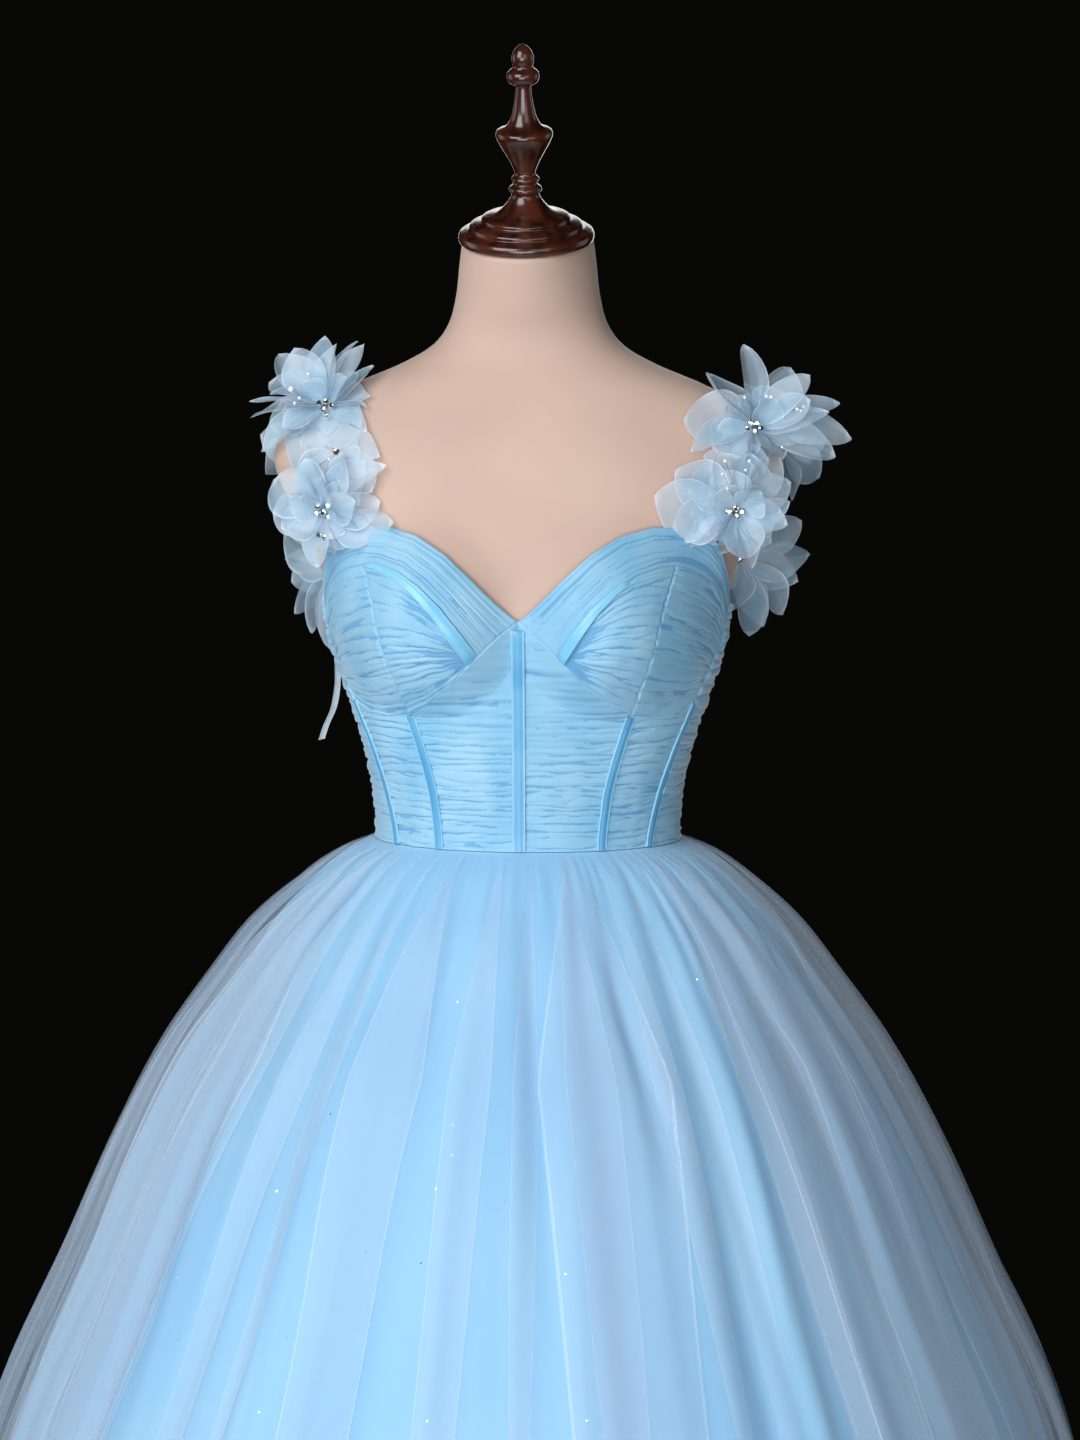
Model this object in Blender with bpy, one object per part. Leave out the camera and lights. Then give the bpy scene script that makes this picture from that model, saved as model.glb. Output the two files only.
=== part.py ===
"""Light blue tulle ball gown on a limbless dress form with a turned neck finial.

Metres, +Z up. The front of the gown faces -Y and the stand's base rests on z = 0.
Points on the body are named by an angle round the body (0 at centre front, 90 at the
wearer's left side, 180 at centre back) and a rise above the waist seam.
"""

import bpy
import bmesh
from collections import namedtuple
from math import ceil, copysign, cos, pi, radians, sin, tan
from mathutils import Matrix, Vector

# Driving sizes
WAIST_HEIGHT = 1.040
HEM_HEIGHT = 0.020
CLOTH = 0.0012
SEAM_GAP = 0.0003
SEAM_ANGLE = 0.30
FORM_CLEARANCE = 0.0008
FORM_SHRINK = 0.0015
LAYER_GAP = 0.0009
RUCHE_HEIGHT = 0.0013
RUCHE_PITCH = 0.0126
BAND_PLEAT_HEIGHT = 0.0012
TAPE = 0.0010
STRIP_LIFT = 0.0007
FORM_COLUMNS = 32
SKIRT_FOLDS = 32
SKIRT_FOLD_DEPTH = 0.020
BASE_RADIUS = 0.170
BASE_THICKNESS = 0.012
HUB_RADIUS = 0.022
HUB_TOP = 0.045
POLE_RADIUS = 0.0125
BASE_EDGE = 0.003
NECK_PITCH = 15.5
PETALS = 5
PETAL_WALL = 0.0010
PETAL_GAP = 0.0008
PETAL_VEIN = 0.0015
STRAP_STATIONS = 22
STRIP_STATIONS = 14
BONING_ROWS = 12
BONING_LIFT_REACH = 0.045
CUP_COLUMNS = 6
CUP_ROWS = 14

# A level row closer to a panel's top edge than this share of a row is moved onto the edge
ROW_TRIM = 0.35
HIGHEST_PANEL_TOP = 0.30

# Where the outside of each cloth layer lies, measured out from the form
BODICE_INSIDE = FORM_CLEARANCE
BODICE_OUTSIDE = BODICE_INSIDE + CLOTH
TAPE_INSIDE = BODICE_OUTSIDE + RUCHE_HEIGHT + SEAM_GAP
TAPE_OUTSIDE = TAPE_INSIDE + TAPE

MATERIALS = {
    "tulle": ("#a9cdea", 0.85, 0.0),
    "satin": ("#8fcdf2", 0.38, 0.0),
    "ruched_tulle": ("#9bcdee", 0.75, 0.0),
    "organza": ("#c9deea", 0.60, 0.0),
    "form_skin": ("#dcc0b3", 0.70, 0.0),
    "dark_wood": ("#3b1c14", 0.28, 0.0),
    "stand_metal": ("#2a2a2c", 0.40, 0.9),
    "ribbon": ("#b9c6cc", 0.55, 0.0),
}

# The form, ring by ring: rise above the waist, half width, depth to the front and back
# of the side line, squareness of the ring and its forward pitch in degrees
Ring = namedtuple("Ring", "rise half_width front back square pitch")
FIGURE = [
    Ring(-0.230, 0.1600, 0.094, 0.110, 2.10, 0.0),
    Ring(-0.190, 0.1690, 0.101, 0.122, 2.10, 0.0),
    Ring(-0.140, 0.1660, 0.105, 0.121, 2.10, 0.0),
    Ring(-0.090, 0.1520, 0.103, 0.107, 2.10, 0.0),
    Ring(-0.045, 0.1340, 0.097, 0.091, 2.10, 0.0),
    Ring(0.000, 0.1205, 0.092, 0.082, 2.10, 0.0),
    Ring(0.040, 0.1225, 0.092, 0.083, 2.15, 0.0),
    Ring(0.080, 0.1310, 0.094, 0.089, 2.20, 0.0),
    Ring(0.120, 0.1440, 0.098, 0.097, 2.25, 0.0),
    Ring(0.160, 0.1570, 0.101, 0.105, 2.30, 0.0),
    Ring(0.200, 0.1640, 0.101, 0.112, 2.30, 0.0),
    Ring(0.240, 0.1760, 0.096, 0.116, 2.30, 0.0),
    Ring(0.275, 0.1960, 0.088, 0.116, 2.30, 0.0),
    Ring(0.305, 0.2060, 0.079, 0.112, 2.30, 0.0),
    Ring(0.330, 0.1970, 0.070, 0.104, 2.30, 0.0),
    Ring(0.350, 0.1730, 0.062, 0.095, 2.20, 0.0),
    Ring(0.367, 0.1400, 0.056, 0.086, 2.10, 0.0),
    Ring(0.382, 0.1040, 0.051, 0.077, 2.00, 0.0),
    Ring(0.396, 0.0790, 0.049, 0.067, 2.00, 0.0),
    Ring(0.413, 0.0655, 0.051, 0.058, 2.00, 4.0),
    Ring(0.435, 0.0590, 0.057, 0.048, 2.00, 9.0),
    Ring(0.460, 0.0560, 0.063, 0.040, 2.00, 14.0),
    Ring(0.478, 0.0535, 0.068, 0.036, 2.00, NECK_PITCH),
]

# Rises of the form's own rings
FORM_RISES = (
    -0.230, -0.190, -0.140, -0.090, -0.045, 0.000, 0.030, 0.060, 0.090, 0.120, 0.145, 0.165,
    0.185, 0.205, 0.230, 0.255, 0.280, 0.300, 0.318, 0.335, 0.350, 0.365, 0.380, 0.396, 0.413,
    0.435, 0.460, 0.478,
)

# The bust, one rounded bump each side: how far out, how wide and how far up and down
BUST_SIDE = 0.080
BUST_RISE = 0.176
Bump = namedtuple("Bump", "out wide above below")
CUP = Bump(0.0365, 0.082, 0.095, 0.073)
FORM_BUST = Bump(0.0315, 0.079, 0.091, 0.067)

# Seam lines on one half of the front, as angle and rise
Mark = namedtuple("Mark", "angle rise")
UNDERBUST = [
    Mark(0.0, 0.1800), Mark(5.0, 0.1674), Mark(10.5, 0.1533), Mark(18.5, 0.1340),
    Mark(27.0, 0.1192), Mark(35.5, 0.1102), Mark(45.8, 0.1057), Mark(56.4, 0.1066),
    Mark(68.0, 0.1160),
]
BODICE_TOP = [
    Mark(83.0, 0.1925), Mark(90.0, 0.1900), Mark(105.0, 0.1870), Mark(120.0, 0.1840),
    Mark(140.0, 0.1800), Mark(160.0, 0.1740), Mark(180.0, 0.1680),
]
SIDE_FRONT_SEAM = [Mark(30.6, 0.000), Mark(31.6, 0.045), Mark(34.4, 0.090), Mark(35.5, 0.110)]
SIDE_SEAM = [
    Mark(54.0, 0.000), Mark(57.0, 0.027), Mark(59.2, 0.046), Mark(62.0, 0.066),
    Mark(65.3, 0.092), Mark(68.0, 0.116), Mark(83.2, 0.1925), Mark(83.8, 0.200),
]
BACK_SEAM = [Mark(118.0, 0.000), Mark(122.0, 0.200)]

# The neckline band: its free edge and the edge sewn to the cup, from the centre to the arm
Band = namedtuple("Band", "outer_angle outer_rise inner_angle inner_rise")
NECK_BAND = [
    Band(0.0, 0.1830, 9.5, 0.1560),
    Band(5.0, 0.1995, 14.3, 0.1766),
    Band(10.0, 0.2165, 19.0, 0.1943),
    Band(16.0, 0.2350, 24.3, 0.2090),
    Band(23.0, 0.2493, 30.0, 0.2195),
    Band(31.0, 0.2555, 37.0, 0.2250),
    Band(39.0, 0.2553, 43.0, 0.2258),
    Band(46.0, 0.2545, 49.0, 0.2225),
    Band(54.0, 0.2475, 56.0, 0.2168),
    Band(62.0, 0.2345, 63.5, 0.2085),
    Band(70.0, 0.2185, 70.5, 0.1985),
    Band(77.0, 0.2040, 75.5, 0.1880),
    Band(82.9, 0.1925, 80.0, 0.1780),
]

# The cup panels: the stretch of the band's seam and of the underbust seam each one spans
CupPanel = namedtuple("CupPanel", "name top_from top_to bottom_from bottom_to")
CUP_PANELS = [
    CupPanel("cup_front", 10.6, 42.4, 10.5, 35.5),
    CupPanel("cup_side", 42.4, 80.1, 35.5, 67.9),
]

# The satin strip along the cup's top seam: its angles, widths and where its edges lie
StripEnd = namedtuple("StripEnd", "angle width")
STRIP_LOW = StripEnd(11.4, 0.0100)
STRIP_HIGH = StripEnd(43.0, 0.0040)
STRIP_ABOVE_ANGLE = 0.7
STRIP_ABOVE_RISE = 0.0012
STRIP_TURN = 240
STRIP_BELOW = 0.70

# Boning channels: the seam each lies on, the rise of its top, its width and its lift there
Channel = namedtuple("Channel", "name seam top width lift")
SIDE_CHANNELS = [
    Channel("side_front_boning", SIDE_FRONT_SEAM, 0.1085, 0.008, 0.0),
    Channel("side_boning", SIDE_SEAM, 0.1150, 0.007, 0.0),
]
CENTRE_CHANNEL = Channel("centre_boning", [Mark(0.0, 0.0), Mark(0.0, 0.2)], 0.1765, 0.011, 0.0030)

# Skirt layers: drop below the waist, half width, depth to front and back, squareness
Hoop = namedtuple("Hoop", "drop half_width front back square")
TULLE = [
    Hoop(0.0000, 0.1205, 0.0920, 0.0820, 2.10),
    Hoop(0.0120, 0.1460, 0.1160, 0.1080, 2.08),
    Hoop(0.0300, 0.1710, 0.1410, 0.1340, 2.05),
    Hoop(0.0660, 0.2110, 0.1830, 0.1780, 2.00),
    Hoop(0.1110, 0.2460, 0.2210, 0.2170, 2.00),
    Hoop(0.1690, 0.2870, 0.2650, 0.2620, 2.00),
    Hoop(0.2440, 0.3280, 0.3090, 0.3070, 2.00),
    Hoop(0.3360, 0.3700, 0.3530, 0.3520, 2.00),
    Hoop(0.4500, 0.4230, 0.4080, 0.4080, 2.00),
    Hoop(0.6000, 0.4720, 0.4580, 0.4600, 2.00),
    Hoop(0.8000, 0.5320, 0.5200, 0.5230, 2.00),
    Hoop(1.0200, 0.5920, 0.5820, 0.5860, 2.00),
]
SATIN = [
    Hoop(0.0000, 0.1205, 0.0920, 0.0820, 2.10),
    Hoop(0.0200, 0.1310, 0.1010, 0.0920, 2.10),
    Hoop(0.0450, 0.1420, 0.1100, 0.1060, 2.10),
    Hoop(0.0900, 0.1620, 0.1270, 0.1280, 2.10),
    Hoop(0.1400, 0.1790, 0.1470, 0.1490, 2.05),
    Hoop(0.1900, 0.1970, 0.1690, 0.1700, 2.00),
    Hoop(0.2500, 0.2230, 0.1980, 0.2000, 2.00),
    Hoop(0.3500, 0.2610, 0.2410, 0.2430, 2.00),
    Hoop(0.4500, 0.2920, 0.2750, 0.2770, 2.00),
    Hoop(0.6000, 0.3310, 0.3170, 0.3190, 2.00),
    Hoop(0.8000, 0.3790, 0.3670, 0.3690, 2.00),
    Hoop(1.0200, 0.4300, 0.4200, 0.4220, 2.00),
]

# Each skirt layer: how short of the full length it is cut, its folds and their depth, how
# far it stands off the waist, and the shares of its length that have a row of points
POINTS_PER_FOLD = 3
Layer = namedtuple("Layer", "name table short folds depth out material shares")
LAYERS = [
    Layer("satin_skirt", SATIN, 0.020, 13, 0.014, BODICE_INSIDE, "satin",
          (0.0, 0.045, 0.10, 0.19, 0.33, 0.60, 1.0)),
    Layer("tulle_under_layer", TULLE, 0.008, 14, 0.006, BODICE_OUTSIDE + LAYER_GAP, "tulle",
          (0.0, 0.014, 0.05, 0.13, 0.27, 0.55, 1.0)),
    Layer("tulle_outer_layer", TULLE, 0.0, SKIRT_FOLDS, SKIRT_FOLD_DEPTH,
          BODICE_OUTSIDE + 2 * LAYER_GAP + CLOTH, "tulle",
          (0.0, 0.012, 0.036, 0.09, 0.19, 0.38, 0.66, 1.0)),
]
UNDER_LAYER_INSET = 0.026
UNDER_LAYER_INSET_SHARE = 0.20

# Shoulder straps: the edge toward the neck and the edge toward the arm, front to back
Strap = namedtuple("Strap", "neck_angle neck_rise arm_angle arm_rise")
STRAP = [
    Strap(46.0, 0.2550, 54.0, 0.2480),
    Strap(48.0, 0.2800, 57.0, 0.2740),
    Strap(51.5, 0.3030, 61.0, 0.2960),
    Strap(57.5, 0.3240, 67.0, 0.3150),
    Strap(67.0, 0.3400, 76.0, 0.3290),
    Strap(79.0, 0.3500, 84.5, 0.3370),
    Strap(91.0, 0.3530, 91.5, 0.3400),
    Strap(102.0, 0.3480, 98.5, 0.3350),
    Strap(111.5, 0.3330, 105.5, 0.3210),
    Strap(119.0, 0.3080, 111.5, 0.2980),
    Strap(125.0, 0.2750, 117.5, 0.2690),
    Strap(129.5, 0.2410, 122.5, 0.2380),
    Strap(133.0, 0.2100, 126.5, 0.2090),
    Strap(135.5, 0.1820, 129.0, 0.1830),
]

Station = namedtuple("Station", "place neck_angle neck_rise arm_angle arm_rise")

# Flowers on the straps: place along the strap (0 front, 1 back), shift toward the arm in
# strap widths, seat above the strap, petal length, lift of the petal tips, turn in degrees
Flower = namedtuple("Flower", "name along aside seat length lift turn layers")
LEFT_FLOWERS = [
    Flower("low_front", 0.055, 0.0, 0.0005, 0.040, 0.016, 12, 2),
    Flower("top_front", 0.345, 0.3, -0.0001, 0.045, 0.020, 40, 2),
    Flower("top_back", 0.640, 0.2, 0.0000, 0.034, 0.018, 5, 1),
    Flower("low_back", 0.900, 0.2, 0.0003, 0.036, 0.018, 20, 1),
]
RIGHT_FLOWERS = [
    Flower("low_front", 0.070, 0.0, 0.0005, 0.040, 0.016, 30, 2),
    Flower("top_front", 0.350, 0.4, -0.0001, 0.046, 0.020, 8, 2),
    Flower("top_back", 0.645, 0.2, -0.0002, 0.034, 0.018, 33, 1),
    Flower("low_back", 0.905, 0.2, 0.0003, 0.036, 0.018, 50, 1),
]

# The turned finial: height above the neck cap and radius
Turning = namedtuple("Turning", "height radius")
FINIAL = [
    Turning(0.0003, 0.0500), Turning(0.0030, 0.0535), Turning(0.0080, 0.0535),
    Turning(0.0105, 0.0500), Turning(0.0110, 0.0445), Turning(0.0155, 0.0440),
    Turning(0.0170, 0.0350), Turning(0.0215, 0.0340), Turning(0.0240, 0.0240),
    Turning(0.0320, 0.0150), Turning(0.0395, 0.0108), Turning(0.0440, 0.0125),
    Turning(0.0480, 0.0090), Turning(0.0515, 0.0108), Turning(0.0565, 0.0080),
    Turning(0.0680, 0.0130), Turning(0.0860, 0.0225), Turning(0.0910, 0.0215),
    Turning(0.0940, 0.0140), Turning(0.1020, 0.0095), Turning(0.1265, 0.0058),
    Turning(0.1285, 0.0110), Turning(0.1350, 0.0125), Turning(0.1415, 0.0080),
    Turning(0.1480, 0.0085), Turning(0.1560, 0.0050),
]
FINIAL_TIP = 0.1590
FINIAL_SIDES = 16


def colour(code):
    """Linear colour from a six-digit colour code."""
    values = []
    for start in (1, 3, 5):
        value = int(code[start:start + 2], 16) / 255.0
        values.append(value / 12.92 if value <= 0.04045 else ((value + 0.055) / 1.055) ** 2.4)
    return (*values, 1.0)


def make_materials():
    """One Principled material for each kind of surface."""
    made = {}
    for name, (code, roughness, metallic) in MATERIALS.items():
        material = bpy.data.materials.new(name)
        material.use_nodes = True
        shader = material.node_tree.nodes["Principled BSDF"]
        shader.inputs["Base Color"].default_value = colour(code)
        shader.inputs["Roughness"].default_value = roughness
        shader.inputs["Metallic"].default_value = metallic
        material.diffuse_color = colour(code)
        made[name] = material
    return made


def curve_value(table, key, column, at):
    """Read a column of a table at a place between its rows, on a smooth curve."""
    keys = [getattr(row, key) for row in table]
    values = [getattr(row, column) for row in table]
    if at <= keys[0]:
        return values[0]
    if at >= keys[-1]:
        return values[-1]
    index = max(i for i in range(len(keys) - 1) if keys[i] <= at)

    def slope(i):
        low, high = max(i - 1, 0), min(i + 1, len(keys) - 1)
        return (values[high] - values[low]) / (keys[high] - keys[low])

    span = keys[index + 1] - keys[index]
    t = (at - keys[index]) / span
    start = (2 * t ** 3 - 3 * t ** 2 + 1) * values[index]
    start += (t ** 3 - 2 * t ** 2 + t) * span * slope(index)
    end = (-2 * t ** 3 + 3 * t ** 2) * values[index + 1]
    end += (t ** 3 - t ** 2) * span * slope(index + 1)
    return start + end


def line_value(table, key, column, at):
    """Read a column of a table at a place between its rows, on straight lines."""
    for first, second in zip(table, table[1:]):
        if at <= getattr(second, key):
            break
    low, high = getattr(first, key), getattr(second, key)
    share = min((at - low) / (high - low), 1.0)
    return getattr(first, column) * (1 - share) + getattr(second, column) * share


def signed_power(value, exponent):
    return copysign(abs(value) ** exponent, value)


def bust(x, rise, bump):
    """How far the bust stands forward of the ring at one place."""
    reach = bump.above if rise > BUST_RISE else bump.below
    most = 0.0
    for side in (-1, 1):
        away = ((x - side * BUST_SIDE) / bump.wide) ** 2 + ((rise - BUST_RISE) / reach) ** 2
        if away < 1:
            most = max(most, bump.out * (1 - away) ** 1.5)
    return most


def figure(angle, rise, bump=CUP):
    """A point on the body at an angle in degrees and a rise above the waist."""
    half, front, back, square, pitch = (
        curve_value(FIGURE, "rise", column, rise)
        for column in ("half_width", "front", "back", "square", "pitch"))
    turn = radians(angle)
    x = half * signed_power(sin(turn), 2 / square)
    facing = cos(turn)
    y = -(front if facing > 0 else back) * signed_power(facing, 2 / square)
    if facing > 0:
        y -= bust(x, rise, bump)
    z = WAIST_HEIGHT + rise + (y - (back - front) / 2) * tan(radians(pitch))
    return Vector((x, y, z))


def on_figure(angle, rise, out, bump=CUP):
    """A point held off the body along its normal."""
    step = 0.15
    lift = 0.001
    across = figure(angle + step, rise, bump) - figure(angle - step, rise, bump)
    along = figure(angle, rise + lift, bump) - figure(angle, rise - lift, bump)
    return figure(angle, rise, bump) + across.cross(along).normalized() * out


def finish(name, points, faces, material, collection):
    """Make one solid from its points and faces, facing outward."""
    mesh = bpy.data.meshes.new(name)
    mesh.from_pydata([tuple(point) for point in points], [], faces)
    shape = bmesh.new()
    shape.from_mesh(mesh)
    bmesh.ops.triangulate(shape, faces=shape.faces)
    bmesh.ops.recalc_face_normals(shape, faces=shape.faces)
    shape.to_mesh(mesh)
    shape.free()
    mesh.materials.append(material)
    for polygon in mesh.polygons:
        polygon.use_smooth = True
    solid = bpy.data.objects.new(name, mesh)
    collection.objects.link(solid)
    return solid


def number_points(points, grid):
    """Number a grid of points, sharing one number where a column stands still."""
    rows = []
    for row_index, row in enumerate(grid):
        numbers = []
        for column_index, point in enumerate(row):
            above = rows[-1][column_index] if rows else None
            if above is not None and (points[above] - point).length < 1e-7:
                numbers.append(above)
            else:
                numbers.append(len(points))
                points.append(point)
        rows.append(numbers)
    return rows


def skin(numbers, faces, closed=False):
    """Faces over a numbered grid."""
    for upper, lower in zip(numbers, numbers[1:]):
        count = len(upper)
        for first in range(count if closed else count - 1):
            second = (first + 1) % count
            loop = []
            for number in (upper[first], lower[first], lower[second], upper[second]):
                if number not in loop:
                    loop.append(number)
            if len(loop) > 2:
                faces.append(tuple(loop))


def stitch(points, first_edge, second_edge, faces):
    """Triangles between two edges that run side by side."""
    def clean(edge):
        kept = [edge[0]]
        for number in edge[1:]:
            if number != kept[-1]:
                kept.append(number)
        lengths = [0.0]
        for a, b in zip(kept, kept[1:]):
            lengths.append(lengths[-1] + (points[a] - points[b]).length)
        total = lengths[-1] or 1.0
        return kept, [length / total for length in lengths]

    first, first_at = clean(first_edge)
    second, second_at = clean(second_edge)
    i = j = 0
    while i < len(first) - 1 or j < len(second) - 1:
        step_first = j == len(second) - 1 or (
            i < len(first) - 1 and first_at[i + 1] <= second_at[j + 1] + 1e-9)
        if step_first:
            faces.append((first[i], first[i + 1], second[j]))
            i += 1
        else:
            faces.append((first[i], second[j + 1], second[j]))
            j += 1


def cloth_panel(name, outer, inner, material, collection):
    """A panel of cloth from the points of its outer and inner faces."""
    points, faces = [], []
    outside = number_points(points, outer)
    inside = number_points(points, inner)
    skin(outside, faces)
    skin([row[::-1] for row in inside], faces)
    edges = (
        lambda rows: rows[0],
        lambda rows: [row[-1] for row in rows],
        lambda rows: rows[-1][::-1],
        lambda rows: [row[0] for row in rows][::-1],
    )
    for edge in edges:
        stitch(points, edge(outside), edge(inside), faces)
    return finish(name, points, faces, material, collection)


def cloth_tube(name, outer, inner, material, collection):
    """A tube of cloth from the points of its outer and inner faces."""
    points, faces = [], []
    outside = number_points(points, outer)
    inside = number_points(points, inner)
    skin(outside, faces, closed=True)
    skin([row[::-1] for row in inside], faces, closed=True)
    skin([outside[0], inside[0]], faces, closed=True)
    skin([outside[-1], inside[-1]], faces, closed=True)
    return finish(name, points, faces, material, collection)


def turned(name, profile, bottom, top, sides, place, material, collection):
    """A solid turned round its own axis, closed by a centre point at each end."""
    points, faces, rows = [], [], []
    for height, radius in profile:
        row = []
        for side in range(sides):
            turn = 2 * pi * side / sides
            row.append(len(points))
            points.append(place @ Vector((radius * cos(turn), radius * sin(turn), height)))
        rows.append(row)
    skin(rows, faces, closed=True)
    for row, height in ((rows[0], bottom), (rows[-1], top)):
        centre = len(points)
        points.append(place @ Vector((0, 0, height)))
        for side in range(sides):
            faces.append((row[side], row[(side + 1) % sides], centre))
    return finish(name, points, faces, material, collection)


def build_form(materials, collection):
    """The padded torso, one closed body from the hips to the neck cap."""
    points, faces, rows = [], [], []
    for rise in FORM_RISES:
        row = []
        for column in range(FORM_COLUMNS):
            row.append(len(points))
            angle = 360 * column / FORM_COLUMNS
            points.append(on_figure(angle, rise, -FORM_SHRINK, FORM_BUST))
        rows.append(row)
    skin(rows, faces, closed=True)
    for row in (rows[0], rows[-1]):
        centre = len(points)
        points.append(sum((points[number] for number in row), Vector()) / len(row))
        for side in range(FORM_COLUMNS):
            faces.append((row[side], row[(side + 1) % FORM_COLUMNS], centre))
    finish("form_torso", points, faces, materials["form_skin"], collection)

    neck = FIGURE[-1]
    cap = Vector((0, (neck.back - neck.front) / 2, WAIST_HEIGHT + neck.rise))
    place = Matrix.Translation(cap) @ Matrix.Rotation(radians(NECK_PITCH), 4, "X")
    turned("neck_finial", FINIAL, FINIAL[0].height, FINIAL_TIP, FINIAL_SIDES, place,
           materials["dark_wood"], collection)

    base = [
        Turning(0.0, BASE_RADIUS - BASE_EDGE),
        Turning(BASE_EDGE, BASE_RADIUS),
        Turning(BASE_THICKNESS - 0.004, BASE_RADIUS),
        Turning(BASE_THICKNESS, BASE_RADIUS - 2 * BASE_EDGE),
        Turning(BASE_THICKNESS + 0.002, HUB_RADIUS + 0.010),
        Turning(BASE_THICKNESS + 0.008, HUB_RADIUS),
        Turning(HUB_TOP, HUB_RADIUS),
    ]
    turned("stand_base", base, 0.0, HUB_TOP, 28, Matrix(), materials["stand_metal"], collection)
    pole_top = WAIST_HEIGHT + FIGURE[0].rise - SEAM_GAP
    pole = [Turning(HUB_TOP + SEAM_GAP, POLE_RADIUS), Turning(pole_top, POLE_RADIUS)]
    turned("stand_pole", pole, HUB_TOP + SEAM_GAP, pole_top, 16, Matrix(),
           materials["stand_metal"], collection)


def panel_grid(left, right, top, shares, step, out):
    """Rows at level rises between two side seams, cut off along the top edge.

    left, right: seam angle at a rise; top: rise of the top edge at an angle.
    out: how far the face stands off the body at a share across and a row number.
    """
    def angle_at(share, rise):
        return left(rise) * (1 - share) + right(rise) * share

    ends = []
    for share in shares:
        low, high = 0.0, HIGHEST_PANEL_TOP
        for _ in range(30):
            middle = (low + high) / 2
            if middle < top(angle_at(share, middle)):
                low = middle
            else:
                high = middle
        ends.append(low)
    count = ceil(max(ends) / step)
    grid = []
    for number in range(count, -1, -1):
        row = []
        for share, end in zip(shares, ends):
            rise = SEAM_GAP / 2 + number * step
            if rise > end - ROW_TRIM * step:
                row.append(on_figure(angle_at(share, end), end, out(share, 0)))
            else:
                row.append(on_figure(angle_at(share, rise), rise, out(share, number)))
        grid.append(row)
    return grid


def ruched_panel(name, left, right, top, shares, side, materials, collection):
    """One ruched panel of the bodice body."""
    def raised(share, number):
        if number % 2 == 0:
            return BODICE_OUTSIDE
        near_edge = share < 0.01 or share > 0.99
        return BODICE_OUTSIDE + RUCHE_HEIGHT * (0.5 if near_edge else 1.0)

    half_gap = SEAM_ANGLE / 2

    def left_edge(rise):
        return side * (left(rise) + half_gap)

    def right_edge(rise):
        return side * (right(rise) - half_gap)

    def top_edge(angle):
        return top(abs(angle)) - SEAM_GAP / 2

    outer = panel_grid(left_edge, right_edge, top_edge, shares, RUCHE_PITCH / 2, raised)
    inner = panel_grid(left_edge, right_edge, top_edge, shares, RUCHE_PITCH * 1.5,
                       lambda share, number: BODICE_INSIDE)
    cloth_panel(name, outer, inner, materials["ruched_tulle"], collection)


def seam_angle(seam):
    return lambda rise: line_value(seam, "rise", "angle", rise)


def seam_rise(seam):
    return lambda angle: line_value(seam, "angle", "rise", angle)


def even_shares(count):
    return [index / count for index in range(count + 1)]


def build_bodice_body(side, word, materials, collection):
    """The four ruched panels of one half, from centre front to centre back."""
    def centre_front(rise):
        return 0.0

    def centre_back(rise):
        return 180.0

    front, side_front, back = (seam_angle(s) for s in (SIDE_FRONT_SEAM, SIDE_SEAM, BACK_SEAM))
    under, top = seam_rise(UNDERBUST), seam_rise(BODICE_TOP)
    seam_end = SIDE_FRONT_SEAM[-1].angle
    front_marks = [mark.angle / seam_end for mark in UNDERBUST if mark.angle <= seam_end]
    pieces = (
        ("front_panel", centre_front, front, under, front_marks),
        ("side_front_panel", front, side_front, under, even_shares(3)),
        ("side_panel", side_front, back, top, even_shares(6)),
        ("back_panel", back, centre_back, top, even_shares(6)),
    )
    for name, left, right, edge, shares in pieces:
        ruched_panel(name + word, left, right, edge, shares, side, materials, collection)


def ruled_grid(top, bottom, columns, rows, out):
    """Rows between a top edge and a bottom edge given by share across."""
    grid = []
    for row in range(rows + 1):
        down = row / rows
        line = []
        for column in range(columns + 1):
            share = column / columns
            high, low = top(share), bottom(share)
            angle = high[0] * (1 - down) + low[0] * down
            rise = high[1] * (1 - down) + low[1] * down
            line.append(on_figure(angle, rise, out(share, row, rows)))
        grid.append(line)
    return grid


def cup_pleat(share, row, rows):
    """Raised pleats across a cup, running into its side seams."""
    if row in (0, rows) or row % 2 == 0:
        return BODICE_OUTSIDE
    near_edge = share < 0.01 or share > 0.99
    return BODICE_OUTSIDE + RUCHE_HEIGHT * (0.5 if near_edge else 1.0)


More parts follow.
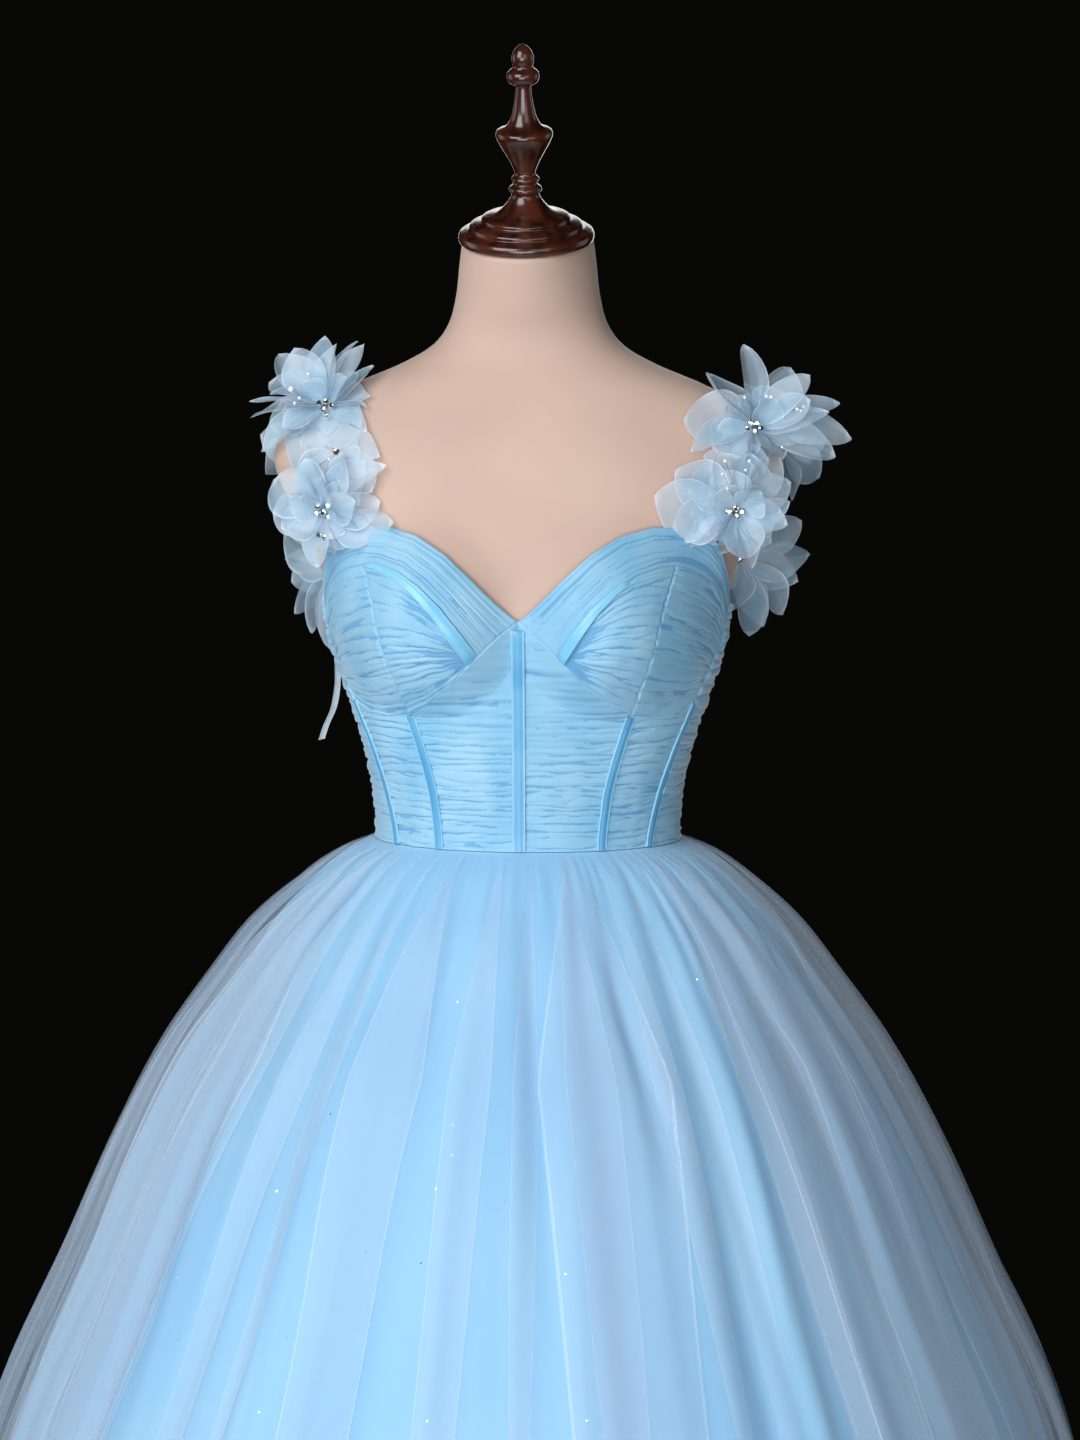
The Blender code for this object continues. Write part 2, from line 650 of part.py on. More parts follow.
def build_cups(side, word, materials, collection):
    """Both cup panels, the neckline band and the satin strip between them."""
    gap = SEAM_GAP / 2
    half_gap = SEAM_ANGLE / 2
    under = seam_rise(UNDERBUST)

    def cup_top(angle):
        return line_value(NECK_BAND, "inner_angle", "inner_rise", angle)

    def between(first, last, share):
        return first + half_gap + (last - first - 2 * half_gap) * share

    def inside(share, row, rows):
        return BODICE_INSIDE

    for panel in CUP_PANELS:
        def top(share):
            angle = between(panel.top_from, panel.top_to, share)
            return side * angle, cup_top(angle) - gap

        def bottom(share):
            angle = between(panel.bottom_from, panel.bottom_to, share)
            return side * angle, under(angle) + gap

        outer = ruled_grid(top, bottom, CUP_COLUMNS, CUP_ROWS, cup_pleat)
        inner = ruled_grid(top, bottom, CUP_COLUMNS, CUP_ROWS // 2, inside)
        cloth_panel(panel.name + word, outer, inner, materials["ruched_tulle"], collection)

    # Neckline band, three pleats lying along it
    def band_grid(rows, out):
        grid = []
        for number, mark in enumerate(NECK_BAND):
            line = []
            for row in range(rows + 1):
                down = row / rows
                angle = mark.outer_angle * (1 - down) + mark.inner_angle * down
                rise = mark.outer_rise * (1 - down) + (mark.inner_rise + gap) * down
                angle = max(angle, half_gap)
                if number == 0:
                    rise += gap
                line.append(on_figure(side * angle, rise, out(row, rows)))
            grid.append(line)
        return grid

    def band_pleat(row, rows):
        raised = row % 2 == 1
        return BODICE_OUTSIDE + (BAND_PLEAT_HEIGHT if raised else 0.0)

    outer = band_grid(6, band_pleat)
    inner = band_grid(2, lambda row, rows: BODICE_INSIDE)
    cloth_panel("neckline_band" + word, outer, inner, materials["ruched_tulle"], collection)

    # Satin strip over the seam, widest at its lower end
    outer, inner = [], []
    for number in range(STRIP_STATIONS + 1):
        share = number / STRIP_STATIONS
        angle = STRIP_LOW.angle + (STRIP_HIGH.angle - STRIP_LOW.angle) * share
        width = STRIP_LOW.width * (1 - share) + STRIP_HIGH.width * share
        rise = cup_top(angle)
        edges = ((angle - STRIP_ABOVE_ANGLE, rise + STRIP_ABOVE_RISE),
                 (angle + STRIP_TURN * width, rise - STRIP_BELOW * width))
        outer.append([on_figure(side * a, r, TAPE_OUTSIDE + STRIP_LIFT) for a, r in edges])
        inner.append([on_figure(side * a, r, TAPE_INSIDE + STRIP_LIFT) for a, r in edges])
    cloth_panel("satin_strip" + word, outer, inner, materials["satin"], collection)


def build_boning(channel, side, word, materials, collection):
    """A satin boning channel laid over a seam, standing off a little more at its top."""
    outer, inner = [], []
    for number in range(BONING_ROWS + 1):
        rise = channel.top + (SEAM_GAP / 2 - channel.top) * number / BONING_ROWS
        angle = side * line_value(channel.seam, "rise", "angle", rise)
        centre = figure(angle, rise)
        reach = channel.width / 2 / (figure(angle + 1, rise) - centre).length
        across = (angle - reach, angle + reach)
        more = channel.lift * max(0.0, 1 - (channel.top - rise) / BONING_LIFT_REACH)
        outer.append([on_figure(a, rise, TAPE_OUTSIDE + more) for a in across])
        inner.append([on_figure(a, rise, TAPE_INSIDE + more) for a in across])
    cloth_panel(channel.name + word, outer, inner, materials["satin"], collection)


def fold_crests(count):
    """Angles of the fold crests round a skirt layer, unevenly spaced."""
    pitch = 360 / count
    return [pitch * (k + 0.24 * sin(1.9 * k) + 0.12 * sin(4.3 * k + 1)) for k in range(count)]


def inset(drop):
    """How far the second tulle layer hangs inside the outer one."""
    return min(UNDER_LAYER_INSET, UNDER_LAYER_INSET_SHARE * drop)


def skirt_grid(table, bottom, shares, folds, depth, out):
    """Rows of points down a gathered skirt layer."""
    crests = fold_crests(folds)
    grid = []
    for down in shares:
        low = down * bottom
        half, front, back, square = (
            curve_value(table, "drop", column, low)
            for column in ("half_width", "front", "back", "square"))
        row = []
        for fold, crest in enumerate(crests):
            after = crests[(fold + 1) % folds] + (360 if fold == folds - 1 else 0)
            for part in range(POINTS_PER_FOLD):
                share = part / POINTS_PER_FOLD
                angle = crest + (after - crest) * share
                swell = 0.75 + 0.25 * sin(2.3 * fold + 0.7)
                sink = depth * swell * (low / bottom) ** 0.8 * (1 - cos(2 * pi * share)) / 2
                turn = radians(angle)
                x = (half + out - sink) * signed_power(sin(turn), 2 / square)
                depth_out = front if cos(turn) > 0 else back
                y = -(depth_out + out - sink) * signed_power(cos(turn), 2 / square)
                row.append(Vector((x, y, WAIST_HEIGHT - SEAM_GAP / 2 - low)))
        grid.append(row)
    return grid


def build_skirt(materials, collection):
    """The satin skirt, the tulle layer over it and the outer tulle layer."""
    for layer in LAYERS:
        table = layer.table
        if layer.name == "tulle_under_layer":
            table = [Hoop(h.drop, h.half_width - inset(h.drop), h.front - inset(h.drop),
                          h.back - inset(h.drop), h.square) for h in table]
        bottom = WAIST_HEIGHT - HEM_HEIGHT - layer.short
        outer, inner = (
            skirt_grid(table, bottom, layer.shares, layer.folds, layer.depth, layer.out + wall)
            for wall in (CLOTH, 0.0))
        cloth_tube(layer.name, outer, inner, materials[layer.material], collection)


def strap_edges(place):
    """Both edges of the strap at a place along it, as angle and rise."""
    table = [Station(number / (len(STRAP) - 1), *row) for number, row in enumerate(STRAP)]
    values = [curve_value(table, "place", column, place) for column in Strap._fields]
    return (values[0], values[1]), (values[2], values[3])


def build_strap(side, word, materials, collection):
    """The strap that carries the flowers over the shoulder."""
    outer, inner = [], []
    for number in range(STRAP_STATIONS + 1):
        neck, arm = strap_edges(number / STRAP_STATIONS)
        middle = tuple((a + b) / 2 for a, b in zip(neck, arm))
        edges = (neck, middle, arm)
        outer.append([on_figure(side * a, r, BODICE_OUTSIDE) for a, r in edges])
        inner.append([on_figure(side * a, r, BODICE_INSIDE) for a, r in edges])
    cloth_panel("strap" + word, outer, inner, materials["organza"], collection)


def flower_layer(name, centre, facing, turn, length, lift, raised, materials, collection):
    """One whorl of five pointed petals, cupped away from the strap."""
    outline = (0.42, 0.86, 1.00, 0.86)
    across = facing.cross(Vector((0, 0, 1)))
    if across.length < 0.2:
        across = facing.cross(Vector((0, 1, 0)))
    across.normalize()
    upward = across.cross(facing).normalized()
    points, faces = [], []
    rings = []
    for thickness in (PETAL_WALL, 0.0):
        hub = len(points)
        points.append(centre + facing * (raised + thickness))
        previous = None
        for ring in (0.55, 1.0):
            row = []
            for petal in range(PETALS):
                for part, reach in enumerate(outline):
                    round_at = radians(turn) + 2 * pi * (petal + part / 4) / PETALS
                    far = length * reach * ring
                    vein = PETAL_VEIN if part == 2 else 0.0
                    high = raised + thickness + lift * (far / length) ** 1.5 + vein * ring
                    heading = across * cos(round_at) + upward * sin(round_at)
                    row.append(len(points))
                    points.append(centre + heading * far + facing * high)
            if previous is None:
                for k in range(len(row)):
                    faces.append((hub, row[k], row[(k + 1) % len(row)]))
            else:
                skin([previous, row], faces, closed=True)
            previous = row
        rings.append(previous)
    skin(rings, faces, closed=True)
    finish(name, points, faces, materials["organza"], collection)


def build_flowers(flowers, side, word, materials, collection):
    """The flowers sewn along one strap."""
    for flower in flowers:
        neck, arm = strap_edges(flower.along)
        share = 0.5 + flower.aside
        angle = neck[0] * (1 - share) + arm[0] * share
        rise = neck[1] * (1 - share) + arm[1] * share
        low = on_figure(side * angle, rise, 0.0)
        facing = (on_figure(side * angle, rise, 0.01) - low).normalized()
        raised = BODICE_OUTSIDE + flower.seat
        for layer in range(flower.layers):
            length = flower.length * (1 - 0.30 * layer)
            lift = flower.lift * (1 + 0.10 * layer)
            flower_layer("flower_" + flower.name + "_" + "ab"[layer] + word, low, facing,
                         flower.turn + 36 * layer, length, lift,
                         raised + layer * (PETAL_WALL + PETAL_GAP), materials, collection)


def build_hanger_loop(materials, collection):
    """A narrow ribbon loop that hangs from the top edge at the side of the back."""
    sewn = [on_figure(-106, rise, BODICE_OUTSIDE + RUCHE_HEIGHT + SEAM_GAP)
            for rise in (0.184, 0.172)]
    hanging = [Vector((-0.1612, 0.048, 1.186)), Vector((-0.1608, 0.050, 1.160)),
               Vector((-0.1645, 0.054, 1.138)), Vector((-0.1715, 0.057, 1.122)),
               Vector((-0.1755, 0.058, 1.110))]
    path = sewn + hanging
    width = Vector((0.0020, 0.0052, 0.0)) / 2
    out = Vector((-0.0010, 0.0004, 0.0))
    outer = [[point + out - width, point + out + width] for point in path]
    inner = [[point - width, point + width] for point in path]
    cloth_panel("hanger_loop", outer, inner, materials["ribbon"], collection)


def build():
    """Clear the scene and make every solid."""
    for item in list(bpy.data.objects):
        bpy.data.objects.remove(item, do_unlink=True)
    collection = bpy.data.collections.new("tulle_ball_gown_on_form")
    bpy.context.scene.collection.children.link(collection)
    materials = make_materials()
    build_form(materials, collection)
    for side, word in ((1, "_left"), (-1, "_right")):
        build_bodice_body(side, word, materials, collection)
        build_cups(side, word, materials, collection)
        for channel in SIDE_CHANNELS:
            build_boning(channel, side, word, materials, collection)
        build_strap(side, word, materials, collection)
    build_boning(CENTRE_CHANNEL, 1, "", materials, collection)
    build_flowers(LEFT_FLOWERS, 1, "_left", materials, collection)
    build_flowers(RIGHT_FLOWERS, -1, "_right", materials, collection)
    build_skirt(materials, collection)
    build_hanger_loop(materials, collection)


build()
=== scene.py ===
"""A light blue tulle ball gown on a limbless dress form, dressed over its CAD frame.

Metres, +Z up. The gown's front faces -Y and +X is the wearer's left. A place on the body is
an angle round it (0 at centre front, 90 at the wearer's left side) and a rise above the waist.
"""

import bpy
import numpy as np
from collections import namedtuple
from math import cos, pi, radians, sin
from mathutils import Matrix, Vector


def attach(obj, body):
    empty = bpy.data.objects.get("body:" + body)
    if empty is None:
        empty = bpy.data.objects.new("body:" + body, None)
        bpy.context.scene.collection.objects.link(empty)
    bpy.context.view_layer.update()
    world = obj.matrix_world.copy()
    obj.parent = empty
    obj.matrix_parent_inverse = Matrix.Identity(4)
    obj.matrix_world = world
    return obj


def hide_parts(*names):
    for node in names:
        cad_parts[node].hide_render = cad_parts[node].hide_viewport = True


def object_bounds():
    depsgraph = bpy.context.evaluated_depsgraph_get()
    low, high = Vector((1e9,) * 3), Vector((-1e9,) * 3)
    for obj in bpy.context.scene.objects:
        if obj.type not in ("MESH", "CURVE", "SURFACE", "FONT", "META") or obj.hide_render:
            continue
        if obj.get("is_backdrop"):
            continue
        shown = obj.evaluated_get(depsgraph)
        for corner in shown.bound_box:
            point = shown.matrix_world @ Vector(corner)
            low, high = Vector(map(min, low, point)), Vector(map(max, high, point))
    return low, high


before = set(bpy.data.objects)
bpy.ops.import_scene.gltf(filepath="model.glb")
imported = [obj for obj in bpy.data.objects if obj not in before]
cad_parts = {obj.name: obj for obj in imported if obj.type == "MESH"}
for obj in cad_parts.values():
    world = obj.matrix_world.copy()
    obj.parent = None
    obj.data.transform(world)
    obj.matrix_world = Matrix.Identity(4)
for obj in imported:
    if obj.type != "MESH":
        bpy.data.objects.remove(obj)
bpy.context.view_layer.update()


# Stand: base and pole
# A round iron foot with a hub and a steel pole, both enamelled satin black. The pole is
# pushed into the hub and carries the torso.
Turning = namedtuple("Turning", "height radius")
BASE_RADIUS = 0.170
HUB_RADIUS = 0.022
HUB_TOP = 0.045
BASE_PROFILE = [
    Turning(0.0000, 0.1660), Turning(0.0006, 0.1685), Turning(0.0030, BASE_RADIUS),
    Turning(0.0080, BASE_RADIUS), Turning(0.0105, 0.1688), Turning(0.0120, 0.1650),
    Turning(0.0140, 0.0330), Turning(0.0152, 0.0265), Turning(0.0200, 0.0222),
    Turning(0.0400, HUB_RADIUS), Turning(0.0440, 0.0214), Turning(HUB_TOP, 0.0200),
]
BASE_SIDES = 144
POLE_RADIUS = 0.0125
POLE_TOP = 0.8097
POLE_GAP = 0.0003
POLE_STEPS = 8
POLE_SIDES = 48
FIRST_COLOUR_UP_TO = 0.36
SECOND_COLOUR_FROM = 0.64


def linear(code):
    """Linear colour from a six-digit colour code."""
    values = []
    for start in (1, 3, 5):
        value = int(code[start:start + 2], 16) / 255.0
        values.append(value / 12.92 if value <= 0.04045 else ((value + 0.055) / 1.055) ** 2.4)
    return (*values, 1.0)


def surface_finish(name, first, second, patch, grain, depth, **sockets):
    """A finish with two mottled colours and a fine raised grain.

    patch and grain are how many marks there are to a metre along X, Y and Z, depth is how
    far the grain stands up, and sockets are the shader's own constant values.
    """
    material = bpy.data.materials.new(name)
    material.use_nodes = True
    nodes, links = material.node_tree.nodes, material.node_tree.links
    shader = nodes["Principled BSDF"]
    place = nodes.new("ShaderNodeTexCoord")

    def noise(density, detail):
        spread = nodes.new("ShaderNodeMapping")
        spread.inputs["Scale"].default_value = density
        texture = nodes.new("ShaderNodeTexNoise")
        texture.inputs["Scale"].default_value = 1.0
        texture.inputs["Detail"].default_value = detail
        links.new(place.outputs["Object"], spread.inputs["Vector"])
        links.new(spread.outputs["Vector"], texture.inputs["Vector"])
        return texture

    ramp = nodes.new("ShaderNodeValToRGB")
    ramp.color_ramp.elements[0].position = FIRST_COLOUR_UP_TO
    ramp.color_ramp.elements[0].color = linear(first)
    ramp.color_ramp.elements[1].position = SECOND_COLOUR_FROM
    ramp.color_ramp.elements[1].color = linear(second)
    links.new(noise(patch, 1.0).outputs["Fac"], ramp.inputs["Fac"])
    links.new(ramp.outputs["Color"], shader.inputs["Base Color"])
    bump = nodes.new("ShaderNodeBump")
    bump.inputs["Strength"].default_value = 1.0
    bump.inputs["Distance"].default_value = depth
    links.new(noise(grain, 0.0).outputs["Fac"], bump.inputs["Height"])
    links.new(bump.outputs["Normal"], shader.inputs["Normal"])
    for socket, value in sockets.items():
        shader.inputs[socket.replace("_", " ")].default_value = value
    return material


def make_piece(name, points, faces, materials, replaced=(), smooth=True):
    """One piece that rides on the stand, made from its points and faces."""
    mesh = bpy.data.meshes.new(name)
    mesh.from_pydata(np.asarray(points).reshape(-1, 3).tolist(), [], faces)
    mesh.polygons.foreach_set("use_smooth", [smooth] * len(mesh.polygons))
    for material in materials:
        mesh.materials.append(material)
    mesh.update()
    piece = bpy.data.objects.new(name, mesh)
    bpy.context.collection.objects.link(piece)
    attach(piece, "root")
    if replaced:
        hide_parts(*replaced)
    return piece


def net_faces(rows, columns, closed=False, first=0):
    """Four-sided faces over a net of points, laid row by row."""
    down, across = np.meshgrid(np.arange(rows - 1), np.arange(columns if closed else columns - 1),
                               indexing="ij")
    beside = (across + 1) % columns
    corners = (down * columns + across, (down + 1) * columns + across,
               (down + 1) * columns + beside, down * columns + beside)
    return (np.stack(corners, axis=-1).reshape(-1, 4) + first).tolist()


def turned_net(profile, sides, place=Matrix()):
    """Points and faces turned round an axis, with a point closing each end."""
    turns = 2 * pi * np.arange(sides) / sides
    points = [(row.radius * cos(turn), row.radius * sin(turn), row.height)
              for row in profile for turn in turns]
    points += [(0.0, 0.0, profile[0].height), (0.0, 0.0, profile[-1].height)]
    faces = [face[::-1] for face in net_faces(len(profile), sides, closed=True)]
    last = sides * (len(profile) - 1)
    for side in range(sides):
        beside = (side + 1) % sides
        faces.append((beside, side, len(points) - 2))
        faces.append((last + side, last + beside, len(points) - 1))
    return np.array([place @ Vector(point) for point in points]), faces


enamel = surface_finish("satin_black_enamel", "#232326", "#2f2f32", (14, 14, 14), (900, 900, 900),
                        0.00006, Roughness=0.38, Metallic=0.85)
points, faces = turned_net(BASE_PROFILE, BASE_SIDES)
make_piece("round_base", points, faces, [enamel], ["stand_base"])
pole_long = POLE_TOP - HUB_TOP - POLE_GAP
pole_profile = [Turning(HUB_TOP + POLE_GAP + pole_long * step / POLE_STEPS, POLE_RADIUS)
                for step in range(POLE_STEPS + 1)]
points, faces = turned_net(pole_profile, POLE_SIDES)
make_piece("steel_pole", points, faces, [enamel], ["stand_pole"])


# Torso of the dress form
# A limbless torso, cast over a core and covered in a tight matte skin-coloured knit, with a
# capped neck that leans forward. Its rings are measured level by level.
WAIST_HEIGHT = 1.040
Ring = namedtuple("Ring", "rise half_width front back square pitch")
FIGURE = [
    Ring(-0.230, 0.1600, 0.094, 0.110, 2.10, 0.0),
    Ring(-0.190, 0.1690, 0.101, 0.122, 2.10, 0.0),
    Ring(-0.140, 0.1660, 0.105, 0.121, 2.10, 0.0),
    Ring(-0.090, 0.1520, 0.103, 0.107, 2.10, 0.0),
    Ring(-0.045, 0.1340, 0.097, 0.091, 2.10, 0.0),
    Ring(0.000, 0.1205, 0.092, 0.082, 2.10, 0.0),
    Ring(0.040, 0.1225, 0.092, 0.083, 2.15, 0.0),
    Ring(0.080, 0.1310, 0.094, 0.089, 2.20, 0.0),
    Ring(0.120, 0.1440, 0.098, 0.097, 2.25, 0.0),
    Ring(0.160, 0.1570, 0.101, 0.105, 2.30, 0.0),
    Ring(0.200, 0.1640, 0.101, 0.112, 2.30, 0.0),
    Ring(0.240, 0.1760, 0.096, 0.116, 2.30, 0.0),
    Ring(0.275, 0.1960, 0.088, 0.116, 2.30, 0.0),
    Ring(0.305, 0.2060, 0.079, 0.112, 2.30, 0.0),
    Ring(0.330, 0.1970, 0.070, 0.104, 2.30, 0.0),
    Ring(0.350, 0.1730, 0.062, 0.095, 2.20, 0.0),
    Ring(0.367, 0.1400, 0.056, 0.086, 2.10, 0.0),
    Ring(0.382, 0.1040, 0.051, 0.077, 2.00, 0.0),
    Ring(0.396, 0.0790, 0.049, 0.067, 2.00, 0.0),
    Ring(0.413, 0.0655, 0.051, 0.058, 2.00, 4.0),
    Ring(0.435, 0.0590, 0.057, 0.048, 2.00, 9.0),
    Ring(0.460, 0.0560, 0.063, 0.040, 2.00, 14.0),
    Ring(0.478, 0.0535, 0.068, 0.036, 2.00, 15.5),
]
BUST_SIDE = 0.080
BUST_RISE = 0.176
Bump = namedtuple("Bump", "out wide above below")
CUP = Bump(0.0365, 0.082, 0.095, 0.073)
FORM_BUST = Bump(0.0315, 0.079, 0.091, 0.067)
FORM_SHRINK = 0.0015
TORSO_SIDES = 120
BODY_LEVELS = 56
BODY_LEVELS_TOP = 0.290
SHOULDER_LEVELS = 44
SHOULDER_LEVELS_FOOT = 0.297


def read_column(table, key, column, at):
    """A column of a table at any places between its rows, on a smooth curve."""
    keys = np.array([getattr(row, key) for row in table])
    values = np.array([getattr(row, column) for row in table])
    at = np.clip(np.asarray(at, float), keys[0], keys[-1])
    index = np.clip(np.searchsorted(keys, at, "right") - 1, 0, len(keys) - 2)
    low = np.maximum(np.arange(len(keys)) - 1, 0)
    high = np.minimum(np.arange(len(keys)) + 1, len(keys) - 1)
    slopes = (values[high] - values[low]) / (keys[high] - keys[low])
    span = keys[index + 1] - keys[index]
    t = (at - keys[index]) / span
    start = (2 * t ** 3 - 3 * t ** 2 + 1) * values[index]
    start += (t ** 3 - 2 * t ** 2 + t) * span * slopes[index]
    end = (-2 * t ** 3 + 3 * t ** 2) * values[index + 1]
    return start + end + (t ** 3 - t ** 2) * span * slopes[index + 1]


def rounded(value, square):
    """A sine or cosine bent to the squareness of a ring."""
    return np.sign(value) * np.abs(value) ** (2 / square)


def body(angle, rise, bump=CUP):
    """Points on the body at angles in degrees and rises above the waist."""
    angle, rise = np.broadcast_arrays(np.asarray(angle, float), np.asarray(rise, float))
    half, front, back, square, pitch = (
        read_column(FIGURE, "rise", column, rise)
        for column in ("half_width", "front", "back", "square", "pitch"))
    facing = np.cos(np.radians(angle))
    x = half * rounded(np.sin(np.radians(angle)), square)
    y = -np.where(facing > 0, front, back) * rounded(facing, square)
    reach = np.where(rise > BUST_RISE, bump.above, bump.below)
    most = np.zeros_like(x)
    for side in (-1, 1):
        away = ((x - side * BUST_SIDE) / bump.wide) ** 2 + ((rise - BUST_RISE) / reach) ** 2
        most = np.maximum(most, bump.out * np.clip(1 - away, 0, None) ** 1.5)
    y = y - np.where(facing > 0, most, 0)
    z = WAIST_HEIGHT + rise + (y - (back - front) / 2) * np.tan(np.radians(pitch))
    return np.stack((x, y, z), axis=-1)


def off_body(angle, rise, out, bump=CUP):
    """Points held off the body along its normal."""
    across = body(angle + 0.15, rise, bump) - body(angle - 0.15, rise, bump)
    along = body(angle, rise + 0.001, bump) - body(angle, rise - 0.001, bump)
    normal = np.cross(across, along)
    normal /= np.linalg.norm(normal, axis=-1, keepdims=True)
    return body(angle, rise, bump) + normal * np.asarray(out)[..., None]


knit = surface_finish("skin_knit", "#c2a79a", "#caafa1", (9, 9, 9), (1500, 1500, 1900), 0.00010,
                      Roughness=0.62, Sheen_Weight=0.25, Sheen_Roughness=0.45)
levels = np.concatenate((
    np.linspace(FIGURE[0].rise, BODY_LEVELS_TOP, BODY_LEVELS),
    np.linspace(SHOULDER_LEVELS_FOOT, FIGURE[-1].rise, SHOULDER_LEVELS)))
turns = 360 * np.arange(TORSO_SIDES) / TORSO_SIDES
points = off_body(turns[None, :], levels[:, None],
                  np.full((len(levels), TORSO_SIDES), -FORM_SHRINK), FORM_BUST)
caps = np.array([points[0].mean(axis=0), points[-1].mean(axis=0)])
faces = net_faces(len(levels), TORSO_SIDES, closed=True)
count = len(levels) * TORSO_SIDES
for side in range(TORSO_SIDES):
    beside = (side + 1) % TORSO_SIDES
    faces.append((side, beside, count))
    faces.append((count - TORSO_SIDES + beside, count - TORSO_SIDES + side, count + 1))
points = np.concatenate((points.reshape(-1, 3), caps))
make_piece("knit_covered_torso", points, faces, [knit], ["form_torso"])


# Neck finial
# A stepped cap and a turned spindle with an urn, cut on a lathe from one piece of hardwood,
# stained dark brown and lacquered to a gloss. It is screwed into the neck.
NECK_PITCH = 15.5
FINIAL = [
    Turning(0.0003, 0.0500), Turning(0.0010, 0.0522), Turning(0.0022, 0.0533),
    Turning(0.0050, 0.0540), Turning(0.0080, 0.0533), Turning(0.0094, 0.0520),
    Turning(0.0102, 0.0498), Turning(0.0106, 0.0462), Turning(0.0116, 0.0448),
    Turning(0.0132, 0.0452), Turning(0.0150, 0.0443), Turning(0.0162, 0.0418),
    Turning(0.0168, 0.0372), Turning(0.0180, 0.0350), Turning(0.0196, 0.0354),
    Turning(0.0212, 0.0344), Turning(0.0224, 0.0318), Turning(0.0234, 0.0262),
    Turning(0.0262, 0.0208), Turning(0.0320, 0.0150), Turning(0.0365, 0.0119),
    Turning(0.0392, 0.0109), Turning(0.0404, 0.0114), Turning(0.0412, 0.0124),
    Turning(0.0432, 0.0130), Turning(0.0452, 0.0122), Turning(0.0464, 0.0102),
    Turning(0.0480, 0.0092), Turning(0.0492, 0.0098), Turning(0.0502, 0.0108),
    Turning(0.0516, 0.0111), Turning(0.0530, 0.0102), Turning(0.0545, 0.0086),
    Turning(0.0565, 0.0081), Turning(0.0600, 0.0093), Turning(0.0680, 0.0130),
    Turning(0.0770, 0.0182), Turning(0.0830, 0.0213), Turning(0.0862, 0.0224),
    Turning(0.0888, 0.0223), Turning(0.0906, 0.0212), Turning(0.0918, 0.0184),
    Turning(0.0932, 0.0150), Turning(0.0960, 0.0124), Turning(0.1020, 0.0096),
    Turning(0.1110, 0.0076), Turning(0.1200, 0.0064), Turning(0.1255, 0.0060),
    Turning(0.1265, 0.0066), Turning(0.1272, 0.0090), Turning(0.1284, 0.0110),
    Turning(0.1305, 0.0122), Turning(0.1335, 0.0127), Turning(0.1362, 0.0121),
    Turning(0.1380, 0.0106), Turning(0.1392, 0.0088), Turning(0.1410, 0.0078),
    Turning(0.1430, 0.0080), Turning(0.1455, 0.0086), Turning(0.1480, 0.0087),
    Turning(0.1510, 0.0080), Turning(0.1540, 0.0064), Turning(0.1565, 0.0042),
    Turning(0.1582, 0.0020), Turning(0.1590, 0.0004),
]
FINIAL_ROWS = 190
FINIAL_SIDES = 64
FINEST_RADIUS = 0.0003

lacquer = surface_finish("lacquered_dark_hardwood", "#2a120c", "#4a2418", (90, 90, 9),
                         (500, 500, 60), 0.00005, Roughness=0.22, Coat_Weight=0.4,
                         Coat_Roughness=0.14)
heights = np.linspace(FINIAL[0].height, FINIAL[-1].height, FINIAL_ROWS)
radii = np.maximum(read_column(FINIAL, "height", "radius", heights), FINEST_RADIUS)
neck = FIGURE[-1]
cap = Vector((0, (neck.back - neck.front) / 2, WAIST_HEIGHT + neck.rise))
place = Matrix.Translation(cap) @ Matrix.Rotation(radians(NECK_PITCH), 4, "X")
points, faces = turned_net([Turning(*row) for row in zip(heights, radii)], FINIAL_SIDES,
                           place)
make_piece("turned_neck_finial", points, faces, [lacquer], ["neck_finial"])


# Satin skirt
# The opaque skirt: duchess satin in flared gores, gathered a little into the waist seam and
# hanging in broad soft folds nearly to the floor, inside the tulle.
Hoop = namedtuple("Hoop", "drop half_width front back square")
SATIN_HOOPS = [
    Hoop(0.0000, 0.1205, 0.0920, 0.0820, 2.10),
    Hoop(0.0200, 0.1310, 0.1010, 0.0920, 2.10),
    Hoop(0.0450, 0.1420, 0.1100, 0.1060, 2.10),
    Hoop(0.0900, 0.1620, 0.1270, 0.1280, 2.10),
    Hoop(0.1400, 0.1790, 0.1470, 0.1490, 2.05),
    Hoop(0.1900, 0.1970, 0.1690, 0.1700, 2.00),
    Hoop(0.2500, 0.2230, 0.1980, 0.2000, 2.00),
    Hoop(0.3500, 0.2610, 0.2410, 0.2430, 2.00),
    Hoop(0.4500, 0.2920, 0.2750, 0.2770, 2.00),
    Hoop(0.6000, 0.3310, 0.3170, 0.3190, 2.00),
    Hoop(0.8000, 0.3790, 0.3670, 0.3690, 2.00),
    Hoop(1.0200, 0.4300, 0.4200, 0.4220, 2.00),
]
SATIN_LENGTH = 1.000
SATIN_STAND = 0.0014
SATIN_COLUMNS = 400
SATIN_ROWS = 80
SATIN_FOLDS = 13
SATIN_FOLD_DEPTH = 0.014
SATIN_GATHERS = 64
SATIN_GATHER_DEPTH = 0.0016
SATIN_WAVES = 21
SATIN_WAVE_DEPTH = 0.0030
SEAM_GAP = 0.0003
SKIRT_TOP = WAIST_HEIGHT - SEAM_GAP / 2
Crease = namedtuple("Crease", "angle slant start end wide deep")
